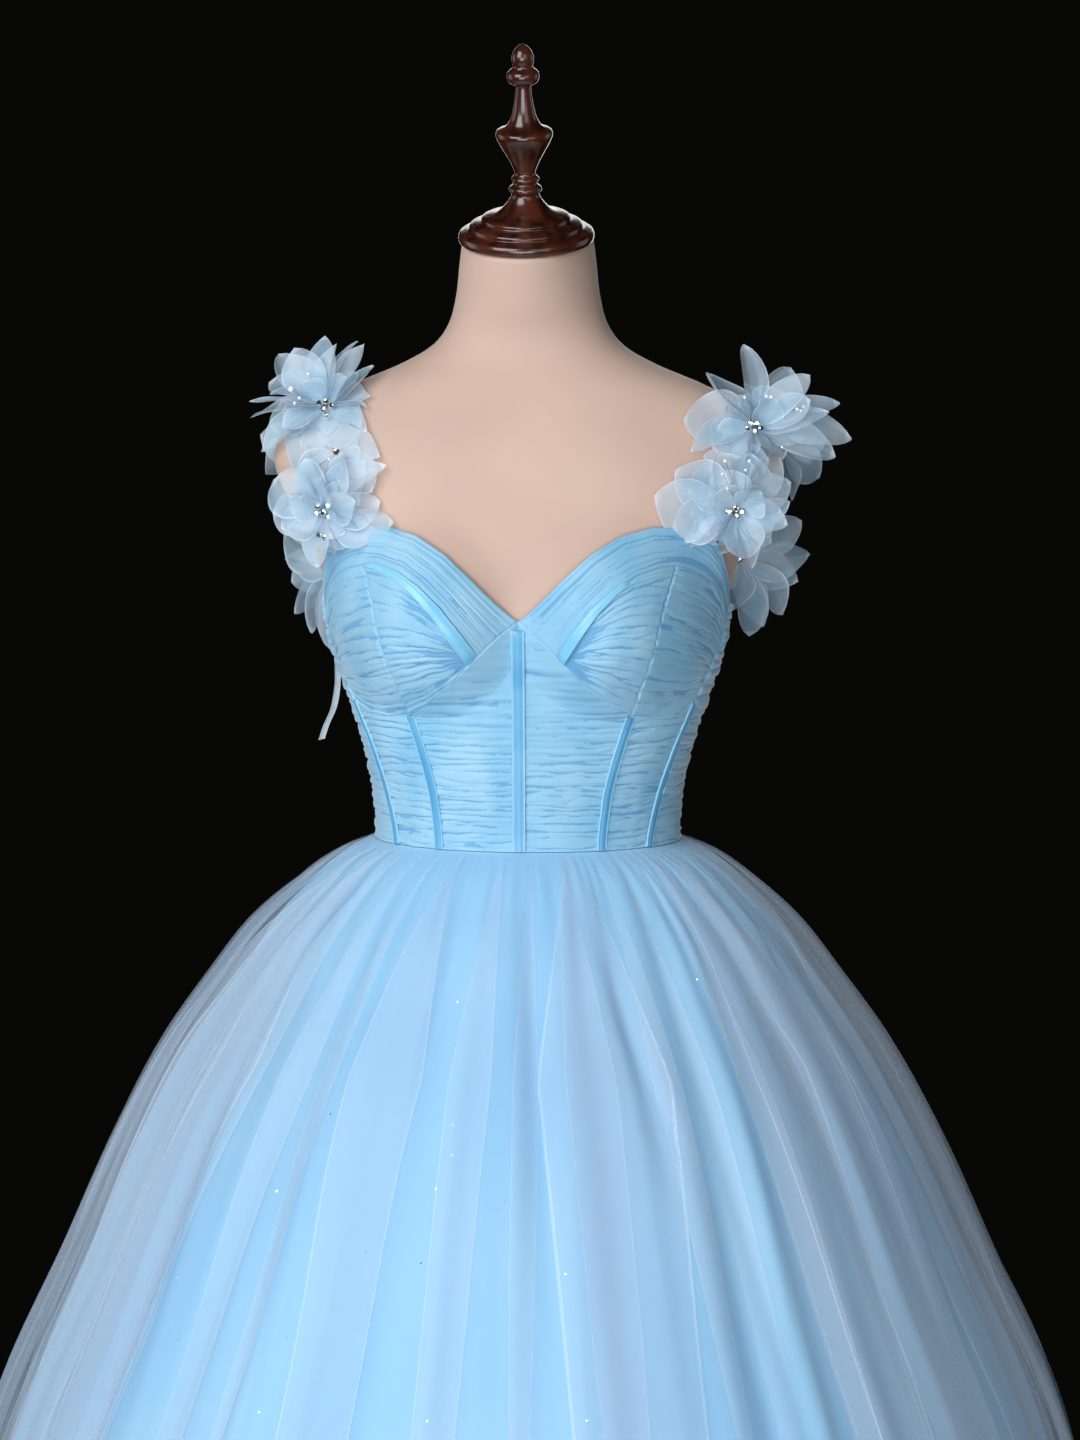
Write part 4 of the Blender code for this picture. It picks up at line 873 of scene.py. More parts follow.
for side, word in ((1, "_left"), (-1, "_right")):
    along = packed(BAND_STATIONS, BAND_FINE_ALONG)
    down = packed(BAND_ROWS, BAND_FINE_DOWN)[:, None]
    angle = band_column("outer_angle", along) * (1 - down) + band_column("inner_angle", along) * down
    rise = band_column("outer_rise", along) * (1 - down) + band_column("inner_rise", along) * down
    flat = body(angle, rise)
    length = float(np.linalg.norm(np.diff(flat, axis=1), axis=-1).sum(axis=1).mean())
    deep = np.linalg.norm(np.diff(flat, axis=0), axis=-1).sum(axis=0)[None, :]
    largest = float(deep.max())
    raised = ruched(along[None, :] * length * np.ones_like(rise), (1 - down) * largest
                    * np.ones_like(rise), length, 206 + side, BAND_PITCH, BAND_PUFF, deep)
    smoother = np.clip(1.25 - along, 0.35, 1.0)[None, :]
    edge = np.minimum(np.minimum(down, 1 - down) * deep, along[None, :] * length)
    roll = edge_roll(edge)
    out = BODICE_OUTSIDE + raised * smoother * (1 - roll) - SEAM_SINK * roll
    points = off_body(side * angle, rise, out)
    faces = outward_faces(BAND_ROWS, BAND_STATIONS, side)
    piece = make_ruched("pleated_neckline_band" + word, points, faces, raised,
                        ["neckline_band" + word])


# Satin strips and boning channels
# Bias satin strips cover the seam of band and cup. Satin tapes with a spiral bone inside lie
# over the centre front, side front and side seams, edge-stitched along both sides.
TAPE_OUTSIDE = 0.0046
Tape = namedtuple("Tape", "name seam side top width lift flat_length")
TAPES = [
    Tape("centre_boning", CENTRE_FRONT, 1, 0.1765, 0.0110, 0.0030, 0.178),
    Tape("side_front_boning_left", SIDE_FRONT_SEAM, 1, 0.1085, 0.0080, 0.0, 0.114),
    Tape("side_front_boning_right", SIDE_FRONT_SEAM, -1, 0.1085, 0.0080, 0.0, 0.114),
    Tape("side_boning_left", SIDE_SEAM, 1, 0.1150, 0.0070, 0.0, 0.124),
    Tape("side_boning_right", SIDE_SEAM, -1, 0.1150, 0.0070, 0.0, 0.124),
]
TAPE_ACROSS = np.array([-1.0, -0.97, -0.86, -0.72, -0.45, -0.2, 0.0, 0.2, 0.45, 0.72, 0.86,
                        0.97, 1.0])
TAPE_RISE = np.array([-0.0016, -0.0006, -0.0001, -0.0004, 0.0, 0.0002, 0.0003, 0.0002, 0.0,
                      -0.0004, -0.0001, -0.0006, -0.0016])
STITCHED_COLUMNS = (2, 10)
STITCH_PITCH = 0.0026
STITCH_LENGTH = 0.0017
STITCH_WIDE = 0.00034
STITCH_HIGH = 0.00022
STITCH_ROUND = 0.00010
STITCH_START = 0.0010
THREAD_OFF_CLOTH = 0.00006

tape_satin = surface_finish("bias_satin_tape", "#559fcf", "#63acd7", (25, 25, 25),
                            (1600, 1600, 500), 0.00005, Roughness=0.33, Sheen_Weight=0.3,
                            Sheen_Roughness=0.35)
thread = surface_finish("pale_blue_thread", "#9fd6f4", "#b4e0f7", (600, 600, 600),
                        (3000, 3000, 3000), 0.00004, Roughness=0.55)
stitch_points, stitch_faces = [], []


def sew_stitches(line, normals):
    """Short raised stitches along a line of points on the cloth."""
    steps = np.linalg.norm(np.diff(line, axis=0), axis=1)
    length = np.concatenate(([0.0], np.cumsum(steps)))
    for start in np.arange(STITCH_START, length[-1] - STITCH_LENGTH, STITCH_PITCH):
        ends = [np.array([np.interp(at, length, line[:, axis]) for axis in range(3)])
                for at in (start, start + STITCH_LENGTH)]
        normal = np.array([np.interp(start, length, normals[:, axis]) for axis in range(3)])
        normal /= np.linalg.norm(normal)
        ahead = ends[1] - ends[0]
        aside = np.cross(normal, ahead)
        aside *= STITCH_WIDE / 2 / np.linalg.norm(aside)
        first = len(stitch_points)
        for share, lift in ((0.0, 0.0), (0.2, STITCH_HIGH), (0.8, STITCH_HIGH), (1.0, 0.0)):
            middle = ends[0] + ahead * share + normal * lift
            stitch_points.extend((middle - aside, middle + normal * STITCH_ROUND, middle + aside))
        for row in range(3):
            for column in range(2):
                here = first + row * 3 + column
                stitch_faces.append((here, here + 3, here + 4, here + 1))


def lay_tape(angles, rises, width, lifts):
    """A slightly domed tape along a line on the body, its edges turned down to the cloth."""
    out = TAPE_OUTSIDE + lifts
    centre = off_body(angles, rises, out)
    normal = off_body(angles, rises, out + 0.001) - centre
    normal /= np.linalg.norm(normal, axis=1, keepdims=True)
    across = np.cross(np.gradient(centre, axis=0), normal)
    across *= width / 2 / np.linalg.norm(across, axis=1, keepdims=True)
    points = (centre[:, None] + across[:, None] * TAPE_ACROSS[None, :, None]
              + normal[:, None] * TAPE_RISE[None, :, None])
    for column in STITCHED_COLUMNS:
        sew_stitches(points[:, column] + normal * THREAD_OFF_CLOTH, normal)
    return points


# Painted highlight: the turned-down edges of the tapes get a paler blue than the satin, standing in
# for the sheen they catch.
tape_edge_sheen = surface_finish("turned_tape_edge", "#84c4e6", "#94cdea", (25, 25, 25),
                           (1600, 1600, 500), 0.00005, Roughness=0.36, Sheen_Weight=0.3)
TAPE_ROWS = 80
TAPE_END_TUCK = 0.0012
LIFTED_LENGTH = 0.045
TURNED_COLUMNS = 3
for tape in TAPES:
    rises = np.linspace(tape.top, SEAM_GAP / 2, TAPE_ROWS)
    angles = tape.side * on_lines(tape.seam, "rise", "angle", rises)
    lifts = tape.lift * np.clip(1 - (tape.top - rises) / LIFTED_LENGTH, 0, 1)
    lifts[0] -= TAPE_END_TUCK
    points = lay_tape(angles, rises, tape.width, lifts)
    piece = make_piece("satin_" + tape.name, points, net_faces(TAPE_ROWS, len(TAPE_ACROSS)),
                       [tape_satin, tape_edge_sheen], [tape.name])
    columns = np.arange(len(piece.data.polygons)) % (len(TAPE_ACROSS) - 1)
    turned = (columns < TURNED_COLUMNS) | (columns >= len(TAPE_ACROSS) - 1 - TURNED_COLUMNS)
    piece.data.polygons.foreach_set("material_index", turned.astype(int))

strip_satin = surface_finish("bright_bias_satin_strip", "#76c2ea", "#88cdee", (25, 25, 25),
                             (1600, 1600, 500), 0.00005, Roughness=0.30, Sheen_Weight=0.3,
                             Sheen_Roughness=0.35)
Strip = namedtuple("Strip", "word side low_angle low_width high_angle high_width flat_length")
STRIPS = [
    Strip("_left", 1, 10.4, 0.0072, 28.0, 0.0030, 0.091),
    Strip("_right", -1, 10.4, 0.0096, 42.0, 0.0028, 0.138),
]
STRIP_LIFT = 0.0005
STRIP_STATIONS = 90
STRIP_OVER_BAND = 0.0012
STRIP_END_TUCK = 0.0026
for word, side, low_angle, low_width, high_angle, high_width, flat_length in STRIPS:
    share = np.linspace(0, 1, STRIP_STATIONS)
    middle = low_angle + (high_angle - low_angle) * share
    width = low_width * (1 - share) + high_width * share
    near_end = np.clip(1 - np.minimum(share / 0.05, (1 - share) / 0.12), 0, 1)
    tuck = STRIP_END_TUCK * near_end ** 2
    rise = on_lines(NECK_BAND, "inner_angle", "inner_rise", middle)
    reach = np.clip(1 - share / 0.10, 0, 1)
    upper = np.stack((middle - 0.7 - 0.6 * reach, rise + STRIP_OVER_BAND - 0.0026 * reach),
                     axis=-1)
    lower = np.stack((middle + 240 * width - 0.8 * reach, rise - 0.70 * width - 0.0038 * reach),
                     axis=-1)
    blend = (TAPE_ACROSS[None, :, None] + 1) / 2
    edges = upper[:, None, :] * (1 - blend) + lower[:, None, :] * blend
    out = TAPE_OUTSIDE + STRIP_LIFT - tuck[:, None] + 0.8 * TAPE_RISE[None, :]
    points = off_body(side * edges[..., 0], edges[..., 1], out)
    faces = outward_faces(STRIP_STATIONS, len(TAPE_ACROSS), -side)
    piece = make_piece("bias_strip" + word, points, faces, [strip_satin],
                       ["satin_strip" + word])
    for column in STITCHED_COLUMNS:
        above = (off_body(side * edges[:, column, 0], edges[:, column, 1], out[:, column] + 0.001)
                 - points[:, column])
        sew_stitches(points[:, column], above)
make_piece("edge_stitching", stitch_points, stitch_faces, [thread], smooth=False)


# Shoulder straps
# A soft doubled organza strap over each shoulder, sewn inside the neckline band at the front
# and the top edge at the back. The flowers are sewn to it.
Strap = namedtuple("Strap", "neck_angle neck_rise arm_angle arm_rise")
STRAP = [
    Strap(46.0, 0.2550, 54.0, 0.2480), Strap(48.0, 0.2800, 57.0, 0.2740),
    Strap(51.5, 0.3030, 61.0, 0.2960), Strap(57.5, 0.3240, 67.0, 0.3150),
    Strap(67.0, 0.3400, 76.0, 0.3290), Strap(79.0, 0.3500, 84.5, 0.3370),
    Strap(91.0, 0.3530, 91.5, 0.3400), Strap(102.0, 0.3480, 98.5, 0.3350),
    Strap(111.5, 0.3330, 105.5, 0.3210), Strap(119.0, 0.3080, 111.5, 0.2980),
    Strap(125.0, 0.2750, 117.5, 0.2690), Strap(129.5, 0.2410, 122.5, 0.2380),
    Strap(133.0, 0.2100, 126.5, 0.2090), Strap(135.5, 0.1820, 129.0, 0.1830),
]
STRAP_STATIONS = 120
STRAP_ACROSS = 9
STRAP_RIPPLE = 0.0003
STRAP_EDGE_SINK = 0.0006
Station = namedtuple("Station", "place " + " ".join(Strap._fields))
strap_table = [Station(number / (len(STRAP) - 1), *row) for number, row in enumerate(STRAP)]


def strap_place(along, aside):
    """Angle and rise at a place along the strap and across it, 0 neck side and 1 arm side."""
    neck_angle, neck_rise, arm_angle, arm_rise = (
        read_column(strap_table, "place", column, along) for column in Strap._fields)
    return (neck_angle * (1 - aside) + arm_angle * aside,
            neck_rise * (1 - aside) + arm_rise * aside)


organza_strap = surface_finish("doubled_organza", "#b3d3ea", "#c3dcec", (40, 40, 40),
                               (1800, 1800, 1800), 0.00008, Roughness=0.45, Alpha=0.55,
                               Sheen_Weight=0.4, Sheen_Roughness=0.35)
for side, word in ((1, "_left"), (-1, "_right")):
    along = np.linspace(0, 1, STRAP_STATIONS)[:, None]
    aside = np.linspace(0, 1, STRAP_ACROSS)[None, :]
    angle, rise = strap_place(along, aside)
    out = (BODICE_OUTSIDE + STRAP_RIPPLE * np.sin(aside * 3 * pi) * np.sin(along * 60)
           - STRAP_EDGE_SINK * (np.abs(2 * aside - 1) > 0.99))
    points = off_body(side * angle, rise, out)
    faces = outward_faces(STRAP_STATIONS, STRAP_ACROSS, side)
    piece = make_piece("organza_strap" + word, points, faces, [organza_strap],
                       ["strap" + word])


# Organza flowers
# Petals heat-cut from crisp organza, each pinched at its foot and sewn in a whorl through a
# small pad on the strap. Their melted edges are a little denser than the cloth.
Petal = namedtuple("Petal", "right up forward wide foot_right foot_up", defaults=(0.0, 0.0))
Flower = namedtuple("Flower", "name along aside right up forward petals")
# A petal's tip is right, up and forward of the flower's middle as one looks at the front,
# and so is its foot, which is at the middle unless it belongs to a bud beside it.
FLOWERS = {
    "_right": [
        Flower("top_front", 0.35, 0.0, 0.015, -0.001, 0.012, [
            Petal(-0.041, 0.042, -0.014, 0.030), Petal(0.018, 0.053, -0.014, 0.024),
            Petal(-0.062, 0.001, 0.000, 0.007), Petal(-0.062, -0.010, 0.002, 0.028),
            Petal(-0.055, -0.037, -0.004, 0.026), Petal(-0.048, 0.018, -0.004, 0.034),
            Petal(0.032, 0.047, 0.000, 0.022), Petal(0.039, 0.030, 0.006, 0.024),
            Petal(-0.002, 0.056, 0.002, 0.026), Petal(0.010, 0.050, 0.014, 0.022),
            Petal(-0.024, 0.047, 0.012, 0.034), Petal(-0.044, 0.011, 0.016, 0.030),
            Petal(0.038, 0.006, 0.014, 0.030), Petal(0.036, -0.019, 0.016, 0.034),
            Petal(-0.034, -0.020, 0.020, 0.032), Petal(-0.007, -0.033, 0.020, 0.036),
            Petal(0.026, -0.033, 0.018, 0.034), Petal(0.022, 0.022, 0.026, 0.022),
            Petal(-0.016, 0.020, 0.028, 0.022), Petal(0.004, -0.022, 0.028, 0.026),
            Petal(-0.026, -0.056, 0.004, 0.030, 0.012, -0.034),
            Petal(0.010, -0.076, 0.008, 0.030, 0.012, -0.034),
            Petal(0.042, -0.066, 0.006, 0.028, 0.012, -0.034),
            Petal(0.048, -0.036, 0.010, 0.026, 0.012, -0.034),
            Petal(-0.020, -0.028, 0.022, 0.028, 0.012, -0.034),
            Petal(0.028, -0.052, 0.024, 0.024, 0.012, -0.034),
            Petal(-0.004, -0.058, 0.024, 0.026, 0.012, -0.034),
        ]),
        Flower("low_front", 0.045, 0.5, 0.0, 0.0, 0.012, [
            Petal(-0.039, 0.025, -0.002, 0.038), Petal(-0.043, -0.002, -0.004, 0.030),
            Petal(0.016, 0.047, 0.004, 0.034), Petal(-0.014, 0.042, 0.002, 0.034),
            Petal(0.052, 0.036, 0.010, 0.026), Petal(0.034, 0.040, -0.002, 0.028),
            Petal(0.058, -0.004, 0.012, 0.028), Petal(0.046, 0.010, 0.016, 0.028),
            Petal(0.046, -0.016, 0.016, 0.024), Petal(-0.034, -0.013, 0.010, 0.028),
            Petal(-0.014, -0.022, 0.014, 0.028), Petal(0.016, -0.018, 0.020, 0.026),
            Petal(-0.026, 0.014, 0.022, 0.028), Petal(0.004, 0.028, 0.024, 0.030),
            Petal(0.028, 0.010, 0.026, 0.026), Petal(-0.004, -0.044, 0.004, 0.020),
        ]),
        Flower("top_back", 0.66, 0.7, 0.012, 0.0, -0.012, [
            Petal(-0.024, 0.036, -0.024, 0.028), Petal(-0.040, 0.010, -0.008, 0.030),
            Petal(-0.036, -0.022, 0.002, 0.030), Petal(-0.008, -0.044, -0.012, 0.030),
            Petal(0.026, -0.026, -0.026, 0.030), Petal(0.026, 0.020, -0.030, 0.030),
            Petal(-0.018, -0.018, -0.038, 0.026), Petal(0.000, 0.020, -0.040, 0.026),
        ]),
        Flower("low_back", 0.90, 0.7, -0.024, -0.007, -0.010, [
            Petal(-0.045, 0.028, 0.002, 0.030), Petal(-0.042, 0.008, 0.008, 0.030),
            Petal(-0.038, -0.012, 0.000, 0.030), Petal(-0.036, -0.036, 0.006, 0.026),
            Petal(-0.026, -0.052, -0.004, 0.026), Petal(-0.008, -0.068, -0.006, 0.028),
            Petal(-0.016, 0.038, -0.012, 0.028), Petal(0.018, 0.022, -0.022, 0.028),
            Petal(0.020, -0.022, -0.020, 0.028), Petal(0.006, -0.044, -0.012, 0.028),
            Petal(-0.020, 0.004, -0.034, 0.026), Petal(-0.004, -0.018, -0.036, 0.026),
        ]),
    ],
    "_left": [
        Flower("top_front", 0.30, 0.5, -0.004, -0.002, 0.014, [
            Petal(-0.043, 0.036, -0.006, 0.042), Petal(0.022, 0.046, -0.010, 0.034),
            Petal(-0.010, 0.064, 0.000, 0.021), Petal(0.043, 0.038, 0.000, 0.024),
            Petal(0.066, 0.021, -0.002, 0.020), Petal(0.058, 0.010, 0.008, 0.024),
            Petal(0.076, -0.010, 0.000, 0.030), Petal(0.061, -0.028, 0.008, 0.036),
            Petal(0.044, 0.018, 0.010, 0.026), Petal(-0.056, 0.008, 0.006, 0.044),
            Petal(-0.050, -0.023, 0.010, 0.038), Petal(-0.030, 0.030, 0.012, 0.030),
            Petal(0.036, -0.014, 0.018, 0.034), Petal(0.022, -0.026, 0.022, 0.034),
            Petal(-0.010, -0.036, 0.016, 0.036), Petal(-0.030, -0.014, 0.024, 0.032),
            Petal(0.016, 0.022, 0.026, 0.024), Petal(-0.014, 0.020, 0.028, 0.024),
            Petal(-0.050, -0.052, 0.006, 0.032, -0.016, -0.034),
            Petal(-0.014, -0.068, 0.012, 0.030, -0.016, -0.034),
            Petal(0.018, -0.056, 0.012, 0.030, -0.016, -0.034),
            Petal(0.012, -0.026, 0.020, 0.028, -0.016, -0.034),
            Petal(-0.040, -0.022, 0.020, 0.028, -0.016, -0.034),
            Petal(-0.024, -0.056, 0.026, 0.024, -0.016, -0.034),
        ]),
        Flower("low_front", 0.06, 1.0, 0.002, 0.0, 0.014, [
            Petal(-0.065, 0.012, 0.002, 0.046), Petal(-0.050, 0.032, -0.006, 0.038),
            Petal(-0.048, -0.012, 0.006, 0.034), Petal(0.012, 0.046, 0.004, 0.034),
            Petal(-0.012, 0.046, 0.004, 0.034), Petal(0.038, 0.040, -0.008, 0.028),
            Petal(0.045, 0.021, 0.000, 0.026), Petal(0.042, 0.010, 0.010, 0.024),
            Petal(0.040, -0.012, 0.012, 0.024), Petal(0.030, -0.024, 0.004, 0.022),
            Petal(-0.035, -0.030, 0.008, 0.028), Petal(-0.018, -0.022, 0.020, 0.022),
            Petal(0.014, -0.045, 0.006, 0.024), Petal(0.001, -0.037, 0.016, 0.022),
            Petal(0.020, 0.018, 0.026, 0.026), Petal(-0.016, 0.014, 0.028, 0.026),
            Petal(-0.026, 0.006, 0.022, 0.030),
        ]),
        Flower("top_back", 0.66, 0.7, 0.006, 0.0, -0.012, [
            Petal(0.024, 0.032, -0.024, 0.028), Petal(0.036, 0.006, -0.008, 0.030),
            Petal(0.032, -0.024, 0.002, 0.030), Petal(0.006, -0.044, -0.012, 0.030),
            Petal(-0.026, -0.026, -0.026, 0.030), Petal(-0.026, 0.020, -0.030, 0.030),
            Petal(0.018, -0.018, -0.038, 0.026), Petal(0.000, 0.020, -0.040, 0.026),
        ]),
        Flower("low_back", 0.90, 0.7, 0.028, 0.002, -0.010, [
            Petal(0.053, 0.030, -0.002, 0.028), Petal(0.058, 0.006, 0.004, 0.034),
            Petal(0.048, -0.018, 0.000, 0.032), Petal(0.040, -0.042, 0.006, 0.032),
            Petal(0.020, -0.056, -0.004, 0.030), Petal(0.002, -0.064, -0.006, 0.030),
            Petal(0.018, 0.040, -0.012, 0.028), Petal(-0.018, 0.022, -0.022, 0.028),
            Petal(-0.020, -0.022, -0.020, 0.028), Petal(-0.006, -0.044, -0.012, 0.028),
            Petal(0.020, 0.004, -0.034, 0.026), Petal(0.004, -0.018, -0.036, 0.026),
        ]),
    ],
}
PETAL_LONG = 15
PETAL_ACROSS = np.array([-1.0, -0.93, -0.74, -0.50, -0.25, 0.0, 0.25, 0.50, 0.74, 0.93, 1.0])
PETAL_WIDE = len(PETAL_ACROSS)
PETAL_CLEAR = 0.0048
PETAL_FOOT = 0.003
PETAL_FULLER = 1.12
PETAL_LAYERS = 7
PETAL_LAYER = 0.0006
PETAL_RUFFLE = 0.0010
PETAL_FOOT_HALF = 0.0012
PETAL_TIP_HALF = 0.0001
NECK_FROM = 0.40
FILLER_PETALS = 12
FILLER_LONG = (0.026, 0.040)
FILLER_FORWARD = (-0.002, 0.014)
FILLER_WIDE = (0.028, 0.036)
SEAT_OUT = 0.0035
SEAT_AHEAD = 0.0135

petal_cloth = surface_finish("crisp_organza", "#b8daf0", "#d5e8f8", (40, 40, 40),
                             (2200, 2200, 2200), 0.00008, Roughness=0.45, Alpha=0.46,
                             Sheen_Weight=0.5, Sheen_Roughness=0.30)
petal_edge = surface_finish("melted_organza_edge", "#cbe0f2", "#deebf8", (60, 60, 60),
                            (2200, 2200, 2200), 0.00008, Roughness=0.40, Alpha=0.59,
                            Sheen_Weight=0.5, Sheen_Roughness=0.30)


def petal_net(foot, tip, outward, wide, draw):
    """Points of one petal: narrow foot, full middle, pointed tip, bowed and creased."""
    axis = tip - foot
    long = np.linalg.norm(axis)
    axis = axis / long
    spin = radians(draw.uniform(-30, 30))
    aside = np.cross(outward, axis)
    aside /= np.linalg.norm(aside)
    normal = np.cross(axis, aside)
    aside, normal = (aside * cos(spin) + normal * sin(spin), normal * cos(spin) - aside * sin(spin))
    u = np.linspace(0, 1, PETAL_LONG)[:, None]
    w = PETAL_ACROSS[None, :]
    fullest = draw.uniform(0.80, 1.25)
    half = wide / 2 * np.maximum(np.sin(pi * u ** fullest), 0) ** draw.uniform(0.62, 0.85)
    half = np.maximum(half, PETAL_FOOT_HALF * (1 - u) + PETAL_TIP_HALF)
    bow = draw.uniform(0.06, 0.16) * long * np.sin(pi * u)
    curl = draw.uniform(-0.12, 0.16) * long * u ** 3
    twist = radians(draw.uniform(-30, 30)) * u ** 1.5
    cup = draw.uniform(0.12, 0.40)
    valley = cup * half * (w ** 2 - 0.25) + 0.04 * half * np.cos(w * 3 * pi + draw.uniform(0, 6))
    ruffle = PETAL_RUFFLE * np.sin(u * 9 + w * 1.5 + draw.uniform(0, 6)) * np.abs(w) ** 2
    sway = draw.uniform(-0.10, 0.10) * long * np.sin(pi * u * 0.9)
    lift = bow + curl + valley + ruffle + half * w * np.sin(twist)
    side_out = half * w * np.cos(twist) + sway
    return (foot + axis * long * u[..., None] + aside * side_out[..., None]
            + normal * lift[..., None])


def clear_of_body(points, front, gap):
    """Points moved forward, or back behind the form, until they clear its surface."""
    points = points.copy()
    rise = points[..., 2] - WAIST_HEIGHT
    half, front_deep, back_deep, square = (
        read_column(FIGURE, "rise", column, rise)
        for column in ("half_width", "front", "back", "square"))
    aside = np.abs(points[..., 0]) / half
    facing = np.sqrt(np.clip(1 - aside ** square, 0, 1)) ** (2 / square)
    inside = (aside < 1) & (rise < NECK_FROM)
    if front:
        limit = -front_deep * facing - gap * facing
        points[..., 1] = np.where(inside, np.minimum(points[..., 1], limit), points[..., 1])
    else:
        limit = back_deep * facing + gap * facing
        points[..., 1] = np.where(inside, np.maximum(points[..., 1], limit), points[..., 1])
    return points


flower_middles = {}
seed = 300
for side, word in ((1, "_left"), (-1, "_right")):
    for flower in FLOWERS[word]:
        seed += 1
        draw = np.random.default_rng(seed)
        angle, rise = strap_place(flower.along, flower.aside)
        seat = off_body(side * angle, rise, SEAT_OUT)
        outward = off_body(side * angle, rise, SEAT_AHEAD) - seat
        outward /= np.linalg.norm(outward)
        middle = seat + np.array([flower.right, 0.0, flower.up])
        flower_middles[flower.name + word] = (middle, outward)
        points, faces, slots = [], [], []
        cells = net_faces(PETAL_LONG, PETAL_WIDE)
        rim = [row >= PETAL_LONG - 2 or column in (0, PETAL_WIDE - 2)
               for row in range(PETAL_LONG - 1) for column in range(PETAL_WIDE - 1)]
        petals = list(flower.petals)
        # Smaller petals all round fill the heart of a front flower
        if flower.forward > 0:
            for filler in range(FILLER_PETALS):
                heading = radians(360 / FILLER_PETALS * filler + draw.uniform(-12, 12))
                long = draw.uniform(*FILLER_LONG)
                petals.append(Petal(long * cos(heading), long * sin(heading),
                                    draw.uniform(*FILLER_FORWARD), draw.uniform(*FILLER_WIDE)))
        for number, petal in enumerate(petals):
            tip = middle + np.array([petal.right, -petal.forward, petal.up])
            foot = middle + np.array([petal.foot_right, -flower.forward, petal.foot_up])
            start = foot + (tip - foot) / np.linalg.norm(tip - foot) * PETAL_FOOT
            net = petal_net(start, tip, outward, PETAL_FULLER * petal.wide, draw)
            clear = PETAL_CLEAR + PETAL_LAYER * (number % PETAL_LAYERS)
            net = clear_of_body(net, flower.forward > 0, clear)
            first = len(points)
            points.extend(net.reshape(-1, 3))
            faces.extend([[corner + first for corner in cell] for cell in cells])
            slots.extend(int(edge) for edge in rim)
        replaced = ["flower_" + flower.name + "_a" + word]
        if flower.name.endswith("front"):
            replaced.append("flower_" + flower.name + "_b" + word)
        piece = make_piece("organza_flower_" + flower.name + word, points, faces,
                           [petal_cloth, petal_edge], replaced)
        piece.data.polygons.foreach_set("material_index", slots)
        count = len(petals)


# Rhinestones and wired pearls
# Glass rhinestones in claw cups are sewn in clusters at the flowers' hearts. Small pearls sit
# on thin silvered wire stems among the petals.
Stone = namedtuple("Stone", "right up forward size")
# A stone or pearl is right, up and forward of its flower's middle, as one looks at the front.
RHINESTONES = {
    "low_front_right": [
        Stone(-0.0035, 0.0060, 0.017, 0.0042), Stone(0.0045, 0.0058, 0.017, 0.0044),
        Stone(0.0008, 0.0000, 0.018, 0.0040), Stone(0.0046, -0.0034, 0.017, 0.0040),
        Stone(-0.0044, -0.0006, 0.017, 0.0034), Stone(-0.0030, -0.0180, 0.014, 0.0034),
        Stone(0.0020, -0.0200, 0.014, 0.0036), Stone(0.0064, -0.0172, 0.014, 0.0030),
    ],
    "top_front_right": [
        Stone(-0.0040, 0.0030, 0.024, 0.0032), Stone(0.0016, 0.0042, 0.024, 0.0034),
        Stone(0.0056, 0.0010, 0.024, 0.0032), Stone(-0.0006, -0.0016, 0.024, 0.0034),
        Stone(0.0020, -0.0062, 0.024, 0.0030), Stone(0.0140, -0.0340, 0.030, 0.0040),
    ],
    "top_front_left": [
        Stone(-0.0030, 0.0030, 0.026, 0.0034), Stone(0.0018, 0.0030, 0.026, 0.0032),
        Stone(0.0052, -0.0012, 0.026, 0.0032), Stone(-0.0058, -0.0014, 0.026, 0.0028),
        Stone(0.0002, -0.0030, 0.026, 0.0030),
    ],
    "low_front_left": [
        Stone(-0.0050, 0.0000, 0.020, 0.0040), Stone(0.0006, 0.0026, 0.020, 0.0036),
        Stone(0.0052, 0.0004, 0.020, 0.0036), Stone(0.0014, -0.0032, 0.020, 0.0032),
        Stone(-0.0130, -0.0240, 0.012, 0.0036), Stone(-0.0060, -0.0250, 0.012, 0.0030),
    ],
    "top_back_left": [
        Stone(0.0000, 0.0000, -0.012, 0.0036), Stone(0.0050, 0.0010, -0.012, 0.0032),
        Stone(0.0020, -0.0050, -0.012, 0.0032),
    ],
    "low_back_left": [
        Stone(0.0000, 0.0000, -0.012, 0.0036), Stone(0.0050, 0.0020, -0.012, 0.0032),
        Stone(0.0010, -0.0050, -0.012, 0.0032),
    ],
    "top_back_right": [
        Stone(0.0000, 0.0000, -0.012, 0.0036), Stone(-0.0050, 0.0010, -0.012, 0.0032),
        Stone(-0.0010, -0.0050, -0.012, 0.0032),
    ],
    "low_back_right": [
        Stone(0.0000, 0.0000, -0.012, 0.0036), Stone(-0.0050, 0.0020, -0.012, 0.0032),
        Stone(0.0000, -0.0050, -0.012, 0.0032),
    ],
}
